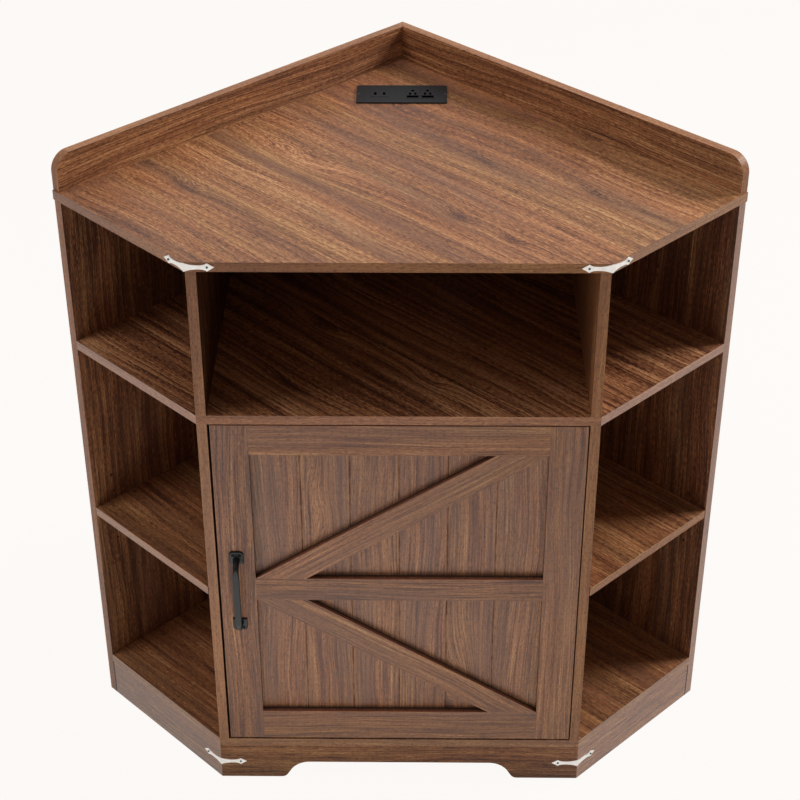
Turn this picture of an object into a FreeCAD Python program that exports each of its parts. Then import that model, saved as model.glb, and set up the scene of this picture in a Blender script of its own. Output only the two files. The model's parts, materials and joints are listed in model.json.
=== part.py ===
import FreeCAD, Part
import operator
import os
from types import SimpleNamespace

import Sketcher

# Corner cabinet: a five-sided carcass for the corner of a room, with a braced plank door in its front,
# open bays beside and above the door, an arched plinth and a power unit let into the top.
# The front faces -Y, +Z is up, and the origin lies on the floor under the middle of the whole cabinet.
# Places are worked out from the middle of the front, with y running back to the corner, and put() then
# moves them to the origin.

driving_sizes = {
    # Carcass
    "board": 15,
    "front_width": 586,
    "side_width": 304,
    "plinth_height": 70,
    "lower_bay_height": 620,
    "upper_bay_height": 239,
    "backsplash_height": 58,
    "backsplash_round": 28,
    "top_lip": 2,
    "shelf_height": 301.5,
    "shelf_play": 1,
    "inner_shelf_setback": 45,
    # Plinth
    "arch_width": 375.4,
    "arch_rise": 33.4,
    "arch_slope_width": 19.3,
    "arch_foot_round": 12,
    "arch_top_round": 36,
    "support_setback": 150,
    "support_length": 300,
    "glue_block_side": 24,
    "glue_block_length": 40,
    "glue_block_inset": 30,
    # Wooden dowels
    "dowel_diameter": 8,
    "dowel_length": 30,
    "dowel_seat": 8,
    "dowel_setback": 50,
    "dowel_shift": 40,
    "wall_fixing_setback": 80,
    # Cam locks and their bolts
    "cam_diameter": 15,
    "cam_height": 12,
    "cam_setback": 34,
    "bolt_diameter": 6,
    "bolt_seat": 10,
    # Shelf pins
    "pin_diameter": 5,
    "pin_seat": 6,
    "pin_reach": 6,
    "pin_pitch": 32,
    "wall_pin_setback": 37,
    "divider_pin_setback": 60,
    "inner_pin_shift": 25,
    # Screws
    "screw_diameter": 3.5,
    "screw_head_diameter": 7,
    "screw_head_depth": 2.2,
    "backsplash_screw_length": 40,
    "door_screw_length": 15,
    "pivot_screw_length": 12,
    "small_screw_diameter": 2.5,
    "small_screw_head_diameter": 4.6,
    "small_screw_head_depth": 1.4,
    "small_screw_length": 11,
    "catch_screw_length": 22,
    # Door
    "latch_gap": 3.5,
    "hinge_gap": 2,
    "sill_gap": 3,
    "head_gap": 2,
    "face_board": 10,
    "plank_board": 9,
    "stile_width": 55,
    "top_rail_width": 52,
    "bottom_rail_width": 58,
    "middle_rail_width": 42,
    "brace_width": 42,
    "groove_width": 3,
    "groove_depth": 1.5,
    # Handle
    "handle_length": 153.5,
    "handle_reach": 26,
    "handle_bar_width": 10,
    "handle_bar_thickness": 5,
    "handle_foot_width": 22.2,
    "handle_foot_length": 22.5,
    "handle_foot_thickness": 3,
    "handle_neck_inset": 8.5,
    "handle_bar_inset": 19.5,
    "handle_outer_round": 8,
    "handle_inner_round": 4,
    "handle_screw_spacing": 10.6,
    "handle_screw_inset": 6,
    # Door pivots
    "pivot_inset": 28,
    "pivot_pin_diameter": 6,
    "pivot_pin_reach": 12,
    "pivot_plate_length": 40,
    "pivot_plate_width": 12,
    "pivot_plate_thickness": 2,
    "pivot_screw_spacing": 26,
    "bush_diameter": 10,
    "bush_length": 18,
    "bush_flange_diameter": 14,
    "bush_flange_thickness": 1.2,
    # Magnetic catch
    "catch_length": 45,
    "catch_depth": 15,
    "catch_height": 14,
    "catch_inset": 13,
    "catch_screw_inset": 6,
    "magnet_length": 24,
    "magnet_height": 6,
    "magnet_depth": 9,
    "strike_length": 40,
    "strike_height": 12,
    "strike_thickness": 1,
    "strike_screw_inset": 6,
    # Corner brackets
    "bracket_thickness": 1.2,
    "bracket_reach": 42,
    "bracket_hole_reach": 32,
    "bracket_waist_reach": 16,
    "bracket_bend_height": 13.5,
    "bracket_waist_height": 6.5,
    "bracket_tip_height": 12.7,
    "nail_diameter": 2,
    "nail_length": 12,
    "nail_head_diameter": 4.4,
    "nail_head_height": 0.8,
    # Power unit
    "power_setback": 169,
    "bezel_end_lip": 8,
    "bezel_side_lip": 7,
    "bezel_rise": 2.5,
    "bezel_round": 4,
    "bezel_screw_inset": 3.2,
    "housing_height": 40,
    "housing_wall": 2,
    "housing_play": 1,
    "outlet_width": 22,
    "outlet_depth": 36,
    "outlet_height": 12,
    "outlet_gap": 2.1,
    "outlet_end_gap": 12.2,
    "outlet_side_gap": 8.5,
    "earth_hole_diameter": 5,
    "earth_hole_offset": 11.5,
    "blade_slot_width": 2.6,
    "blade_slot_length": 8,
    "blade_slot_spacing": 8.6,
    "shutter_width": 19,
    "shutter_length": 4,
    "shutter_offset": 10,
    "shutter_depth": 3,
    "contact_width": 4,
    "contact_height": 6,
    "usb_block_width": 30,
    "usb_block_depth": 24,
    "usb_block_height": 14,
    "usb_end_gap": 14.3,
    "usb_outlet_gap": 27.4,
    "usb_spacing": 14.4,
    "usb_slot_width": 4.6,
    "usb_slot_length": 12.4,
    "usb_slot_depth": 11,
    "usb_tongue_width": 1.8,
    "usb_tongue_length": 10.6,
    "usb_board_margin": 2,
    "usb_board_thickness": 1.6,
    "gland_diameter": 12,
    "gland_bore": 6,
    "gland_collar_diameter": 16,
    "gland_collar_thickness": 2,
    "gland_reach": 6,
    "gland_inset": 30,
    "gland_height": 12,
    "grommet_diameter": 40,
    "grommet_bore": 34,
    "grommet_flange_diameter": 46,
    "grommet_flange_thickness": 2,
    "grommet_setback": 150,
    "grommet_drop": 60,
    # Fits
    "fixing_play": 0.1,
    "insert_recess": 0.6,
    "pivot_play": 0.05,
    "thrust_play": 0.1,
    "catch_gap": 0.3,
    "overrun": 1,
}
plank_count = 6
pin_rows = (-2, -1, 0, 1, 2)
both_sides = (-1, 1)
backsplash_screw_shares = (0.2, 0.4, 0.6, 0.8)
stile_screw_shares = (0.15, 0.5, 0.85)
rail_screw_shares = (0.2, 0.8)

document = FreeCAD.newDocument("CornerCabinet")
nodes = {}


# The sheet holds each driving size as a plain number with its name.
def fill_sheet():
    sheet = document.addObject("Spreadsheet::Sheet", "Sizes")
    for row, (name, number) in enumerate(driving_sizes.items(), start=1):
        sheet.set(f"A{row}", name.replace("_", " "))
        sheet.set(f"B{row}", str(number))
        sheet.setAlias(f"B{row}", name)
    document.recompute()


arithmetic = {"+": operator.add, "-": operator.sub, "*": operator.mul, "/": operator.truediv}


# A size is a number together with the formula that gives it from the sheet.
class Size:
    def __init__(self, number, formula):
        self.number = number
        self.formula = formula

    def __add__(self, other):
        return combined(self, "+", other)

    def __radd__(self, other):
        return combined(other, "+", self)

    def __sub__(self, other):
        return combined(self, "-", other)

    def __rsub__(self, other):
        return combined(other, "-", self)

    def __mul__(self, other):
        return combined(self, "*", other)

    def __rmul__(self, other):
        return combined(other, "*", self)

    def __truediv__(self, other):
        return combined(self, "/", other)

    def __neg__(self):
        return combined(-1, "*", self)

    def root(self):
        return Size(self.number ** 0.5, f"sqrt({self.formula})")


def as_size(value):
    if isinstance(value, Size):
        return value
    return Size(value, f"({value})" if value < 0 else f"{value}")


def combined(first, sign, second):
    first = as_size(first)
    second = as_size(second)
    number = arithmetic[sign](first.number, second.number)
    return Size(number, f"({first.formula} {sign} {second.formula})")


fill_sheet()
size = SimpleNamespace(**{name: Size(number, f"Sizes.{name}") for name, number in driving_sizes.items()})

# Plan of the carcass: the walls stand at 45 degrees and meet in the back corner.
diagonal_share = as_size(2).root()
slant_share = diagonal_share / 2
mitre_share = diagonal_share - 1
half_front = size.front_width / 2
wall_x = half_front + size.side_width * slant_share
wall_y = size.side_width * slant_share
corner_y = wall_x + wall_y
wall_in_x = wall_x - size.board * slant_share
wall_in_y = wall_y - size.board * slant_share
inner_corner_y = corner_y - size.board * diagonal_share
wall_length = wall_x * diagonal_share
bay_half = half_front - size.board
side_bay_wall = (wall_in_x - half_front) * diagonal_share
divider_depth = inner_corner_y - half_front
origin_y = (corner_y - size.handle_reach) / 2

# Levels above the floor: each board's underside, then its upper face.
bottom_level = size.plinth_height
sill_level = bottom_level + size.board
middle_level = sill_level + size.lower_bay_height
ledge_level = middle_level + size.board
top_level = ledge_level + size.upper_bay_height
deck_level = top_level + size.board
shelf_level = sill_level + size.shelf_height
pin_level = shelf_level - size.pin_diameter / 2

# Door outline and depths behind the front.
door_left = -bay_half + size.latch_gap
door_right = bay_half - size.hinge_gap
door_bottom = sill_level + size.sill_gap
door_top = middle_level - size.head_gap
door_width = door_right - door_left
door_height = door_top - door_bottom
door_depth = size.face_board + size.plank_board
field_left = door_left + size.stile_width
field_right = door_right - size.stile_width
field_bottom = door_bottom + size.bottom_rail_width
field_top = door_top - size.top_rail_width
middle_rail_bottom = (field_bottom + field_top - size.middle_rail_width) / 2
middle_rail_top = middle_rail_bottom + size.middle_rail_width
left_stile_middle = door_left + size.stile_width / 2
right_stile_middle = door_right - size.stile_width / 2
handle_middle = (door_bottom + door_top) / 2

# Door pivot axis.
pivot_x = door_right - size.pivot_inset
pivot_y = door_depth / 2

# Power unit: its housing is as long as the row of ports and outlets in it, with the gaps between them.
ports_length = size.usb_end_gap + size.usb_block_width
outlets_length = size.outlet_width * 2 + size.outlet_gap
housing_length = ports_length + size.usb_outlet_gap + outlets_length + size.outlet_end_gap
housing_depth = size.outlet_depth + size.outlet_side_gap * 2
bezel_length = housing_length + size.bezel_end_lip * 2
bezel_depth = housing_depth + size.bezel_side_lip * 2
usb_middle = size.usb_end_gap + (size.usb_block_width - housing_length) / 2
right_outlet_middle = (housing_length - size.outlet_width) / 2 - size.outlet_end_gap
left_outlet_middle = right_outlet_middle - size.outlet_width - size.outlet_gap
outlet_middles = (left_outlet_middle, right_outlet_middle)
power_y = corner_y - size.power_setback
bezel_top = deck_level + size.bezel_rise
insert_top = bezel_top - size.insert_recess
housing_bottom = deck_level - size.housing_height

upward = (0, 0, 1)
backward = (0, 1, 0)
forward = (0, -1, 0)


def bind(piece, name, value):
    piece.setExpression(name, as_size(value).formula)


# Places a piece from the middle of the front edge, on the floor.
def put(piece, place, rotation=FreeCAD.Rotation()):
    piece.Placement = FreeCAD.Placement(FreeCAD.Vector(), rotation)
    x, y, z = place
    bind(piece, "Placement.Base.x", x)
    bind(piece, "Placement.Base.y", as_size(y) - origin_y)
    bind(piece, "Placement.Base.z", z)


def turned(degrees):
    return FreeCAD.Rotation(FreeCAD.Vector(*upward), degrees)


def pointed(direction):
    return FreeCAD.Rotation(FreeCAD.Vector(*upward), FreeCAD.Vector(*direction))


def node(label, piece):
    piece.Label = label
    nodes[label] = piece


def group(pieces):
    compound = document.addObject("Part::Compound", "Group")
    compound.Links = pieces
    return compound


def cut(blank, tools):
    piece = document.addObject("Part::Cut", "Cut")
    piece.Base = blank
    piece.Tool = group(tools)
    return piece


def fuse(pieces):
    piece = document.addObject("Part::MultiFuse", "Fuse")
    piece.Shapes = pieces
    return piece


# Simple solids
def rod(diameter, length, start, direction):
    piece = document.addObject("Part::Cylinder", "Rod")
    bind(piece, "Radius", diameter / 2)
    bind(piece, "Height", length)
    put(piece, start, pointed(direction))
    return piece


def cone(diameter, end_diameter, length, start, direction):
    piece = document.addObject("Part::Cone", "Cone")
    bind(piece, "Radius1", diameter / 2)
    bind(piece, "Radius2", end_diameter / 2)
    bind(piece, "Height", length)
    put(piece, start, pointed(direction))
    return piece


def block(corner, lengths):
    piece = document.addObject("Part::Box", "Block")
    for name, length in zip(("Length", "Width", "Height"), lengths):
        bind(piece, name, length)
    put(piece, corner)
    return piece


# Sketched solids
def new_body(place, rotation=FreeCAD.Rotation()):
    body = document.addObject("PartDesign::Body", "Body")
    put(body, place, rotation)
    return body


def new_sketch(body, plane, lift=0):
    sketch = body.newObject("Sketcher::SketchObject", "Sketch")
    planes = [feature for feature in body.Origin.OriginFeatures if feature.Role == plane]
    sketch.AttachmentSupport = (planes[0], [""])
    sketch.MapMode = "FlatFace"
    bind(sketch, "AttachmentOffset.Base.z", lift)
    return sketch


def flat_vector(point):
    x, y = point
    return FreeCAD.Vector(as_size(x).number, as_size(y).number, 0)


# Holds a point of a sketch at its distances from the sketch's origin.
def pin_point(sketch, piece, end, point):
    for kind, axis, distance in zip(("DistanceX", "DistanceY"), (-2, -1), point):
        distance = as_size(distance)
        if distance.formula == "0":
            sketch.addConstraint(Sketcher.Constraint("PointOnObject", piece, end, axis))
        else:
            rule = Sketcher.Constraint(kind, -1, 1, piece, end, distance.number)
            bind(sketch, f"Constraints[{sketch.addConstraint(rule)}]", distance)


def draw_polygon(sketch, points):
    first = sketch.GeometryCount
    following = points[1:] + points[:1]
    for start, end in zip(points, following):
        sketch.addGeometry(Part.LineSegment(flat_vector(start), flat_vector(end)))
    for index, point in enumerate(points):
        line = first + index
        next_line = first + (index + 1) % len(points)
        sketch.addConstraint(Sketcher.Constraint("Coincident", line, 2, next_line, 1))
        pin_point(sketch, line, 1, point)


def draw_circle(sketch, centre, diameter):
    ring = Part.Circle(flat_vector(centre), FreeCAD.Vector(*upward), diameter.number / 2)
    piece = sketch.addGeometry(ring)
    rule = Sketcher.Constraint("Diameter", piece, diameter.number)
    bind(sketch, f"Constraints[{sketch.addConstraint(rule)}]", diameter)
    pin_point(sketch, piece, 3, centre)


def rectangle(left, right, low, high):
    return [(left, low), (right, low), (right, high), (left, high)]


def centred_rectangle(middle_x, middle_y, width, length):
    middle_x = as_size(middle_x)
    middle_y = as_size(middle_y)
    return rectangle(
        middle_x - width / 2, middle_x + width / 2, middle_y - length / 2, middle_y + length / 2)


def pad(body, sketch, length):
    feature = body.newObject("PartDesign::Pad", "Pad")
    feature.Profile = sketch
    bind(feature, "Length", length)


def pocket(body, sketch, length, reverse=False):
    feature = body.newObject("PartDesign::Pocket", "Pocket")
    feature.Profile = sketch
    feature.Reversed = reverse
    bind(feature, "Length", length)
    return feature


# Rounds the edges of the body's last feature that lie nearest to the given points.
def round_edges(body, radius, places):
    document.recompute()
    solid = body.Tip
    edges = solid.Shape.Edges
    names = []
    for place in places:
        spot = FreeCAD.Vector(*[as_size(length).number for length in place])
        distances = [edge.CenterOfMass.distanceToPoint(spot) for edge in edges]
        names.append(f"Edge{distances.index(min(distances)) + 1}")
    fillet = body.newObject("PartDesign::Fillet", "Fillet")
    fillet.Base = (solid, names)
    bind(fillet, "Radius", radius)


# A board cut to a plan outline, lying at a level.
def lying_board(points, level, thickness):
    body = new_body((0, 0, level))
    sketch = new_sketch(body, "XY_Plane")
    draw_polygon(sketch, points)
    pad(body, sketch, thickness)
    return body


# A board cut to a front outline, with its back at a depth behind the front.
def facing_board(points, back, thickness):
    body = new_body((0, back, 0))
    sketch = new_sketch(body, "XZ_Plane")
    draw_polygon(sketch, points)
    pad(body, sketch, thickness)
    return body


# A board along a wall, from the wall's front end, with its inner face on the wall's inner face.
# Its own x axis runs along the wall: backwards on the right wall.
def wall_board(side, length, level, height):
    body = new_body((side * wall_in_x, wall_in_y, level), turned(-45 * side))
    sketch = new_sketch(body, "XY_Plane")
    draw_polygon(sketch, rectangle(0, -side * length, 0, size.board))
    pad(body, sketch, height)
    return body


# A point of a wall, from its front end along it and outward from its inner face.
def wall_point(side, along, outward):
    x = wall_in_x + (outward - along) * slant_share
    y = wall_in_y + (outward + along) * slant_share
    return side * x, y


def inward(side):
    return (-side, -1, 0)


def outward(side):
    return (side, 1, 0)


# The carcass plan with square side edges, standing out by a lip at the front and sides.
def carcass_plan(lip, setback):
    back = corner_y - setback * diagonal_share
    edge = half_front + lip * diagonal_share
    front_x = edge - lip
    side_x = (back + edge) / 2
    side_y = (back - edge) / 2
    return [(-front_x, -lip), (front_x, -lip), (side_x, side_y), (0, back), (-side_x, side_y)]


# Fasteners: each makes the piece itself, or with some play the hole that takes it.
def screw(start, direction, length, play=0):
    head = size.screw_head_diameter + play * 2
    shank = size.screw_diameter + play * 2
    sink = cone(head, shank, size.screw_head_depth, start, direction)
    return fuse([sink, rod(shank, length + play, start, direction)])


def small_screw(start, direction, length, play=0):
    head = size.small_screw_head_diameter + play * 2
    shank = size.small_screw_diameter + play * 2
    sink = cone(head, shank, size.small_screw_head_depth, start, direction)
    return fuse([sink, rod(shank, length + play, start, direction)])


def plain_pin(start, direction, diameter, length, play=0):
    return rod(diameter + play * 2, length + play, start, direction)


# A fastener for each place, and a hole for each.
def fastener_set(make, places, *measures):
    pieces = [make(start, direction, *measures) for start, direction in places]
    holes = [make(start, direction, *measures, play=size.fixing_play) for start, direction in places]
    return group(pieces), group(holes)


# Distances along a wall of its dowels, cams and bolts.
wall_fixings = (size.wall_fixing_setback, wall_length / 2, wall_length - size.wall_fixing_setback)


# Dowels stand in the lying boards and in the ends of the dividers and wall panels.
def dowel_places():
    divider_x = half_front - size.board / 2
    near = size.dowel_setback
    far = divider_depth - size.dowel_setback
    ends = [
        (ledge_level - size.dowel_seat, near, far),
        (top_level + size.dowel_seat - size.dowel_length, near, far),
        (middle_level + size.dowel_seat - size.dowel_length, near + size.dowel_shift, far - size.dowel_shift),
        (sill_level - size.dowel_seat, near + size.dowel_shift, far - size.dowel_shift),
    ]
    places = []
    for side in both_sides:
        for level, front_y, back_y in ends:
            places.append(((side * divider_x, front_y, level), upward))
            places.append(((side * divider_x, back_y, level), upward))
        for along in wall_fixings:
            x, y = wall_point(side, along, size.board / 2)
            places.append(((x, y, top_level + size.dowel_seat - size.dowel_length), upward))
    return places


def cam_places():
    places = []
    for side in both_sides:
        for along in wall_fixings:
            for level in (bottom_level, middle_level):
                places.append(((*wall_point(side, along, -size.cam_setback), level), upward))
    return places


def bolt_places():
    places = []
    for side in both_sides:
        for along in wall_fixings:
            for level in (bottom_level, middle_level):
                start = (*wall_point(side, along, size.bolt_seat), level + size.board / 2)
                places.append((start, inward(side)))
    return places


def backsplash_screw_places():
    places = []
    for side in both_sides:
        for share in backsplash_screw_shares:
            x, y = wall_point(side, wall_length * share, size.board / 2)
            places.append(((x, y, top_level), upward))
    return places


# Where pins carry the shelves: a point on a face and the direction into the board behind it.
def pin_spots():
    spots = []
    near = size.divider_pin_setback
    far = divider_depth - size.divider_pin_setback
    for side in both_sides:
        for along in (size.wall_pin_setback, side_bay_wall - size.wall_pin_setback):
            spots.append((wall_point(side, along, 0), outward(side), slant_share))
        for y in (near, far):
            spots.append(((side * half_front, y), (-side, 0, 0), 1))
        for y in (near + size.inner_pin_shift, far - size.inner_pin_shift):
            spots.append(((side * bay_half, y), (side, 0, 0), 1))
    return spots


# A place on the line through a spot, ahead of it in the direction by a distance.
def ahead(spot, direction, share, distance):
    x, y = spot
    step_x, step_y, _ = direction
    return x + step_x * share * distance, y + step_y * share * distance


def shelf_pins():
    pins = []
    holes = []
    length = size.pin_seat + size.pin_reach
    hole_length = size.pin_seat + size.fixing_play + size.overrun
    for spot, direction, share in pin_spots():
        pin_start = ahead(spot, direction, share, -size.pin_reach)
        hole_start = ahead(spot, direction, share, -size.overrun)
        pins.append(rod(size.pin_diameter, length, (*pin_start, pin_level), direction))
        for row in pin_rows:
            place = (*hole_start, pin_level + row * size.pin_pitch)
            holes.append(rod(size.pin_diameter + size.fixing_play * 2, hole_length, place, direction))
    return group(pins), group(holes)


def door_screw_places():
    places = []
    for x in (left_stile_middle, right_stile_middle):
        for share in stile_screw_shares:
            places.append((x, door_bottom + door_height * share))
    field_width = field_right - field_left
    rail_middles = (
        door_bottom + size.bottom_rail_width / 2,
        door_top - size.top_rail_width / 2,
        (middle_rail_bottom + middle_rail_top) / 2)
    for share in rail_screw_shares:
        x = field_left + field_width * share
        for level in rail_middles:
            places.append((x, level))
        places.append((x, middle_rail_top + (field_top - middle_rail_top) * share))
        places.append((x, middle_rail_bottom - (middle_rail_bottom - field_bottom) * share))
    return [((x, door_depth, level), forward) for x, level in places]


def handle_screw_places():
    reach = size.handle_length / 2 - size.handle_screw_inset
    places = []
    for side in both_sides:
        for end in both_sides:
            x = left_stile_middle + side * size.handle_screw_spacing / 2
            places.append(((x, -size.handle_foot_thickness, handle_middle + end * reach), backward))
    return places


strike_right = door_left + size.catch_inset + (size.catch_length + size.strike_length) / 2
strike_left = strike_right - size.strike_length
catch_left = door_left + size.catch_inset
catch_front = door_depth + size.strike_thickness + size.catch_gap


def strike_screw_places():
    level = door_top - size.strike_height / 2
    places = []
    for x in (strike_left + size.strike_screw_inset, strike_right - size.strike_screw_inset):
        places.append(((x, door_depth + size.strike_thickness, level), forward))
    return places


def catch_screw_places():
    y = catch_front + size.catch_depth / 2
    places = []
    for x in (catch_left + size.catch_screw_inset, catch_left + size.catch_length - size.catch_screw_inset):
        places.append(((x, y, middle_level - size.catch_height), upward))
    return places


def pivot_screw_places():
    places = []
    for side in both_sides:
        x = pivot_x + side * size.pivot_screw_spacing / 2
        places.append(((x, pivot_y, middle_level), upward))
        places.append(((x, pivot_y, sill_level), (0, 0, -1)))
    return places


def bezel_screw_places():
    reach = bezel_length / 2 - size.bezel_screw_inset
    return [((side * reach, power_y, bezel_top), (0, 0, -1)) for side in both_sides]


# Corner brackets: the corner each is bent round, in plan, and the height of its middle.
top_corner_x = half_front + size.top_lip * mitre_share
bracket_corners = {
    "top": (top_corner_x, -size.top_lip, (top_level + deck_level) / 2),
    "bottom": (half_front, as_size(0), size.plinth_height / 2),
}


# Nails through the brackets, each from the outer face of its head.
def nail_places():
    out = size.bracket_thickness + size.nail_head_height
    along = size.bracket_hole_reach
    places = []
    for side in both_sides:
        for corner_x, corner_front, level in bracket_corners.values():
            front_nail = (side * (corner_x - along), corner_front - out, level)
            side_x = side * (corner_x + (along + out) * slant_share)
            side_nail = (side_x, corner_front + (along - out) * slant_share, level)
            places.append((front_nail, backward))
            places.append((side_nail, (-side, 1, 0)))
    return places


def nail(start, direction, play=0):
    head = rod(size.nail_head_diameter, size.nail_head_height, start, direction)
    shank = rod(size.nail_diameter + play * 2, size.nail_length + play, start, direction)
    return fuse([head, shank])


dowels, dowel_holes = fastener_set(plain_pin, dowel_places(), size.dowel_diameter, size.dowel_length)
cams, cam_seats = fastener_set(plain_pin, cam_places(), size.cam_diameter, size.cam_height)
bolt_length = size.bolt_seat + size.cam_setback
bolts, bolt_holes = fastener_set(plain_pin, bolt_places(), size.bolt_diameter, bolt_length)
backsplash_screws, backsplash_holes = fastener_set(
    screw, backsplash_screw_places(), size.backsplash_screw_length)
door_screws, door_screw_holes = fastener_set(screw, door_screw_places(), size.door_screw_length)
pivot_screws, pivot_screw_holes = fastener_set(screw, pivot_screw_places(), size.pivot_screw_length)
handle_screws, handle_screw_holes = fastener_set(
    small_screw, handle_screw_places(), size.small_screw_length)
strike_screws, strike_screw_holes = fastener_set(
    small_screw, strike_screw_places(), size.small_screw_length)
catch_screws, catch_screw_holes = fastener_set(
    small_screw, catch_screw_places(), size.catch_screw_length)
bezel_screws, bezel_screw_holes = fastener_set(
    small_screw, bezel_screw_places(), size.small_screw_length)
nails, nail_holes = fastener_set(nail, nail_places())
pins, pin_holes = shelf_pins()

# Pivot plates let into the boards above and below the door, each with a pin for the door to turn on.
plate_corner_x = pivot_x - size.pivot_plate_length / 2
plate_corner_y = pivot_y - size.pivot_plate_width / 2
plate_levels = {"upper": middle_level, "lower": sill_level - size.pivot_plate_thickness}
pin_length = size.pivot_pin_reach + size.head_gap
lower_pin_length = size.pivot_pin_reach + size.sill_gap


def pivot_mortise(level):
    play = size.fixing_play
    corner = (plate_corner_x - play, plate_corner_y - play, level)
    return block(corner, (
        size.pivot_plate_length + play * 2,
        size.pivot_plate_width + play * 2,
        size.pivot_plate_thickness))


def pivot_plate(name, pin_start, direction, length):
    plate = block(
        (plate_corner_x, plate_corner_y, plate_levels[name]),
        (size.pivot_plate_length, size.pivot_plate_width, size.pivot_plate_thickness))
    pin = rod(size.pivot_pin_diameter, length, (pivot_x, pivot_y, pin_start), direction)
    node(f"pivot_plate_{name}", cut(fuse([plate, pin]), [pivot_screw_holes]))


# The washer fills the gap under the door's lower bush but for the thrust play.
def pivot_washer():
    thickness = size.sill_gap - size.bush_flange_thickness - size.thrust_play
    place = (pivot_x, pivot_y, sill_level)
    hole = size.pivot_pin_diameter + size.fixing_play * 2
    ring = rod(size.bush_flange_diameter, thickness, place, upward)
    node("pivot_washer", cut(ring, [rod(hole, thickness, place, upward)]))


# A flanged bush pressed into the door's edge, from the edge inward.
def bush(edge_level, direction):
    place = (pivot_x, pivot_y, edge_level)
    away = (0, 0, -direction[2])
    sleeve = rod(size.bush_diameter, size.bush_length, place, direction)
    flange = rod(size.bush_flange_diameter, size.bush_flange_thickness, place, away)
    bore = size.pivot_pin_diameter + size.pivot_play * 2
    bore_tools = [
        rod(bore, size.bush_length, place, direction),
        rod(bore, size.bush_flange_thickness, place, away)]
    return cut(fuse([sleeve, flange]), bore_tools)


def bush_seats():
    seat = size.bush_diameter + size.fixing_play * 2
    length = size.bush_length + size.fixing_play
    upper = rod(seat, length, (pivot_x, pivot_y, door_top), (0, 0, -1))
    lower = rod(seat, length, (pivot_x, pivot_y, door_bottom), upward)
    return group([upper, lower])


# Cut-out in the top for the power unit's housing.
def power_cutout():
    length = housing_length + size.housing_play * 2
    depth = housing_depth + size.housing_play * 2
    return block((-length / 2, power_y - depth / 2, top_level), (length, depth, size.board))


def top_panel():
    blank = lying_board(carcass_plan(size.top_lip, as_size(0)), top_level, size.board)
    tools = [dowel_holes, backsplash_holes, bezel_screw_holes, nail_holes, power_cutout()]
    node("top_panel", cut(blank, tools))


# A board on edge along a rear edge of the top, with a rounded upper front corner.
def backsplash(name, side, length):
    body = wall_board(side, length, deck_level, size.backsplash_height)
    round_edges(body, size.backsplash_round, [(0, size.board / 2, size.backsplash_height)])
    node(f"backsplash_{name}", cut(body, [backsplash_holes]))


def wall_panel(name, side, length, extra_tools):
    body = wall_board(side, length, 0, top_level)
    node(f"wall_panel_{name}", cut(body, [dowel_holes, bolt_holes, pin_holes] + extra_tools))


def carcass_board(label, level, plate, screw_holes):
    blank = lying_board(carcass_plan(as_size(0), size.board), level, size.board)
    tools = [dowel_holes, cam_seats, bolt_holes, pivot_mortise(plate_levels[plate])] + screw_holes
    node(label, cut(blank, tools))


# A divider is cut at 45 degrees where it meets the wall.
def divider(label, side, level, height, tools):
    outer = half_front
    inner = bay_half
    points = [
        (side * outer, 0),
        (side * inner, 0),
        (side * inner, inner_corner_y - inner),
        (side * outer, inner_corner_y - outer)]
    node(label, cut(lying_board(points, level, height), tools))


def side_shelf(name, side):
    play = size.shelf_play
    near_x = half_front + play
    wall_reach = inner_corner_y - play * diagonal_share
    points = [
        (side * near_x, play),
        (side * (wall_reach + half_front) / 2, (wall_reach - half_front) / 2),
        (side * near_x, wall_reach - near_x)]
    node(f"side_shelf_{name}", lying_board(points, shelf_level, size.board))


def inner_shelf():
    play = size.shelf_play
    half = bay_half - play
    wall_reach = inner_corner_y - play * diagonal_share
    points = [
        (-half, size.inner_shelf_setback),
        (half, size.inner_shelf_setback),
        (half, wall_reach - half),
        (0, wall_reach),
        (-half, wall_reach - half)]
    node("inner_shelf", lying_board(points, shelf_level, size.board))


# The plinth's front board is mitred to its sides and has an arched cut-out.
def plinth_front():
    mitre = size.board * mitre_share
    points = [
        (-half_front, 0),
        (half_front, 0),
        (half_front - mitre, size.board),
        (mitre - half_front, size.board)]
    body = lying_board(points, 0, size.plinth_height)
    foot = size.arch_width / 2
    shoulder = foot - size.arch_slope_width
    sketch = new_sketch(body, "XZ_Plane")
    draw_polygon(sketch, [(-foot, 0), (foot, 0), (shoulder, size.arch_rise), (-shoulder, size.arch_rise)])
    pocket(body, sketch, size.board)
    middle = size.board / 2
    round_edges(body, size.arch_foot_round, [(side * foot, middle, 0) for side in both_sides])
    shoulders = [(side * shoulder, middle, size.arch_rise) for side in both_sides]
    round_edges(body, size.arch_top_round, shoulders)
    node("plinth_front", cut(body, [nail_holes]))


def plinth_side(name, side):
    mitre = size.board * mitre_share
    inset = size.board * slant_share
    points = [
        (side * half_front, 0),
        (side * wall_in_x, wall_in_y),
        (side * (wall_in_x - inset), wall_in_y + inset),
        (side * (half_front - mitre), size.board)]
    node(f"plinth_{name}", cut(lying_board(points, 0, size.plinth_height), [nail_holes]))


def center_support():
    half = size.board / 2
    back = size.support_setback + size.support_length
    points = rectangle(-half, half, size.support_setback, back)
    node("center_support", lying_board(points, 0, size.plinth_height))


# Blocks glued in the angle between the plinth's front and the bottom board.
def plinth_blocks():
    side_length = size.glue_block_side
    near = size.board
    level = bottom_level - side_length
    inner_x = size.arch_width / 2 + size.glue_block_inset
    pieces = []
    for left in (inner_x, -inner_x - size.glue_block_length):
        pieces.append(block((left, near, level), (size.glue_block_length, side_length, side_length)))
    node("plinth_blocks", group(pieces))


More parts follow.
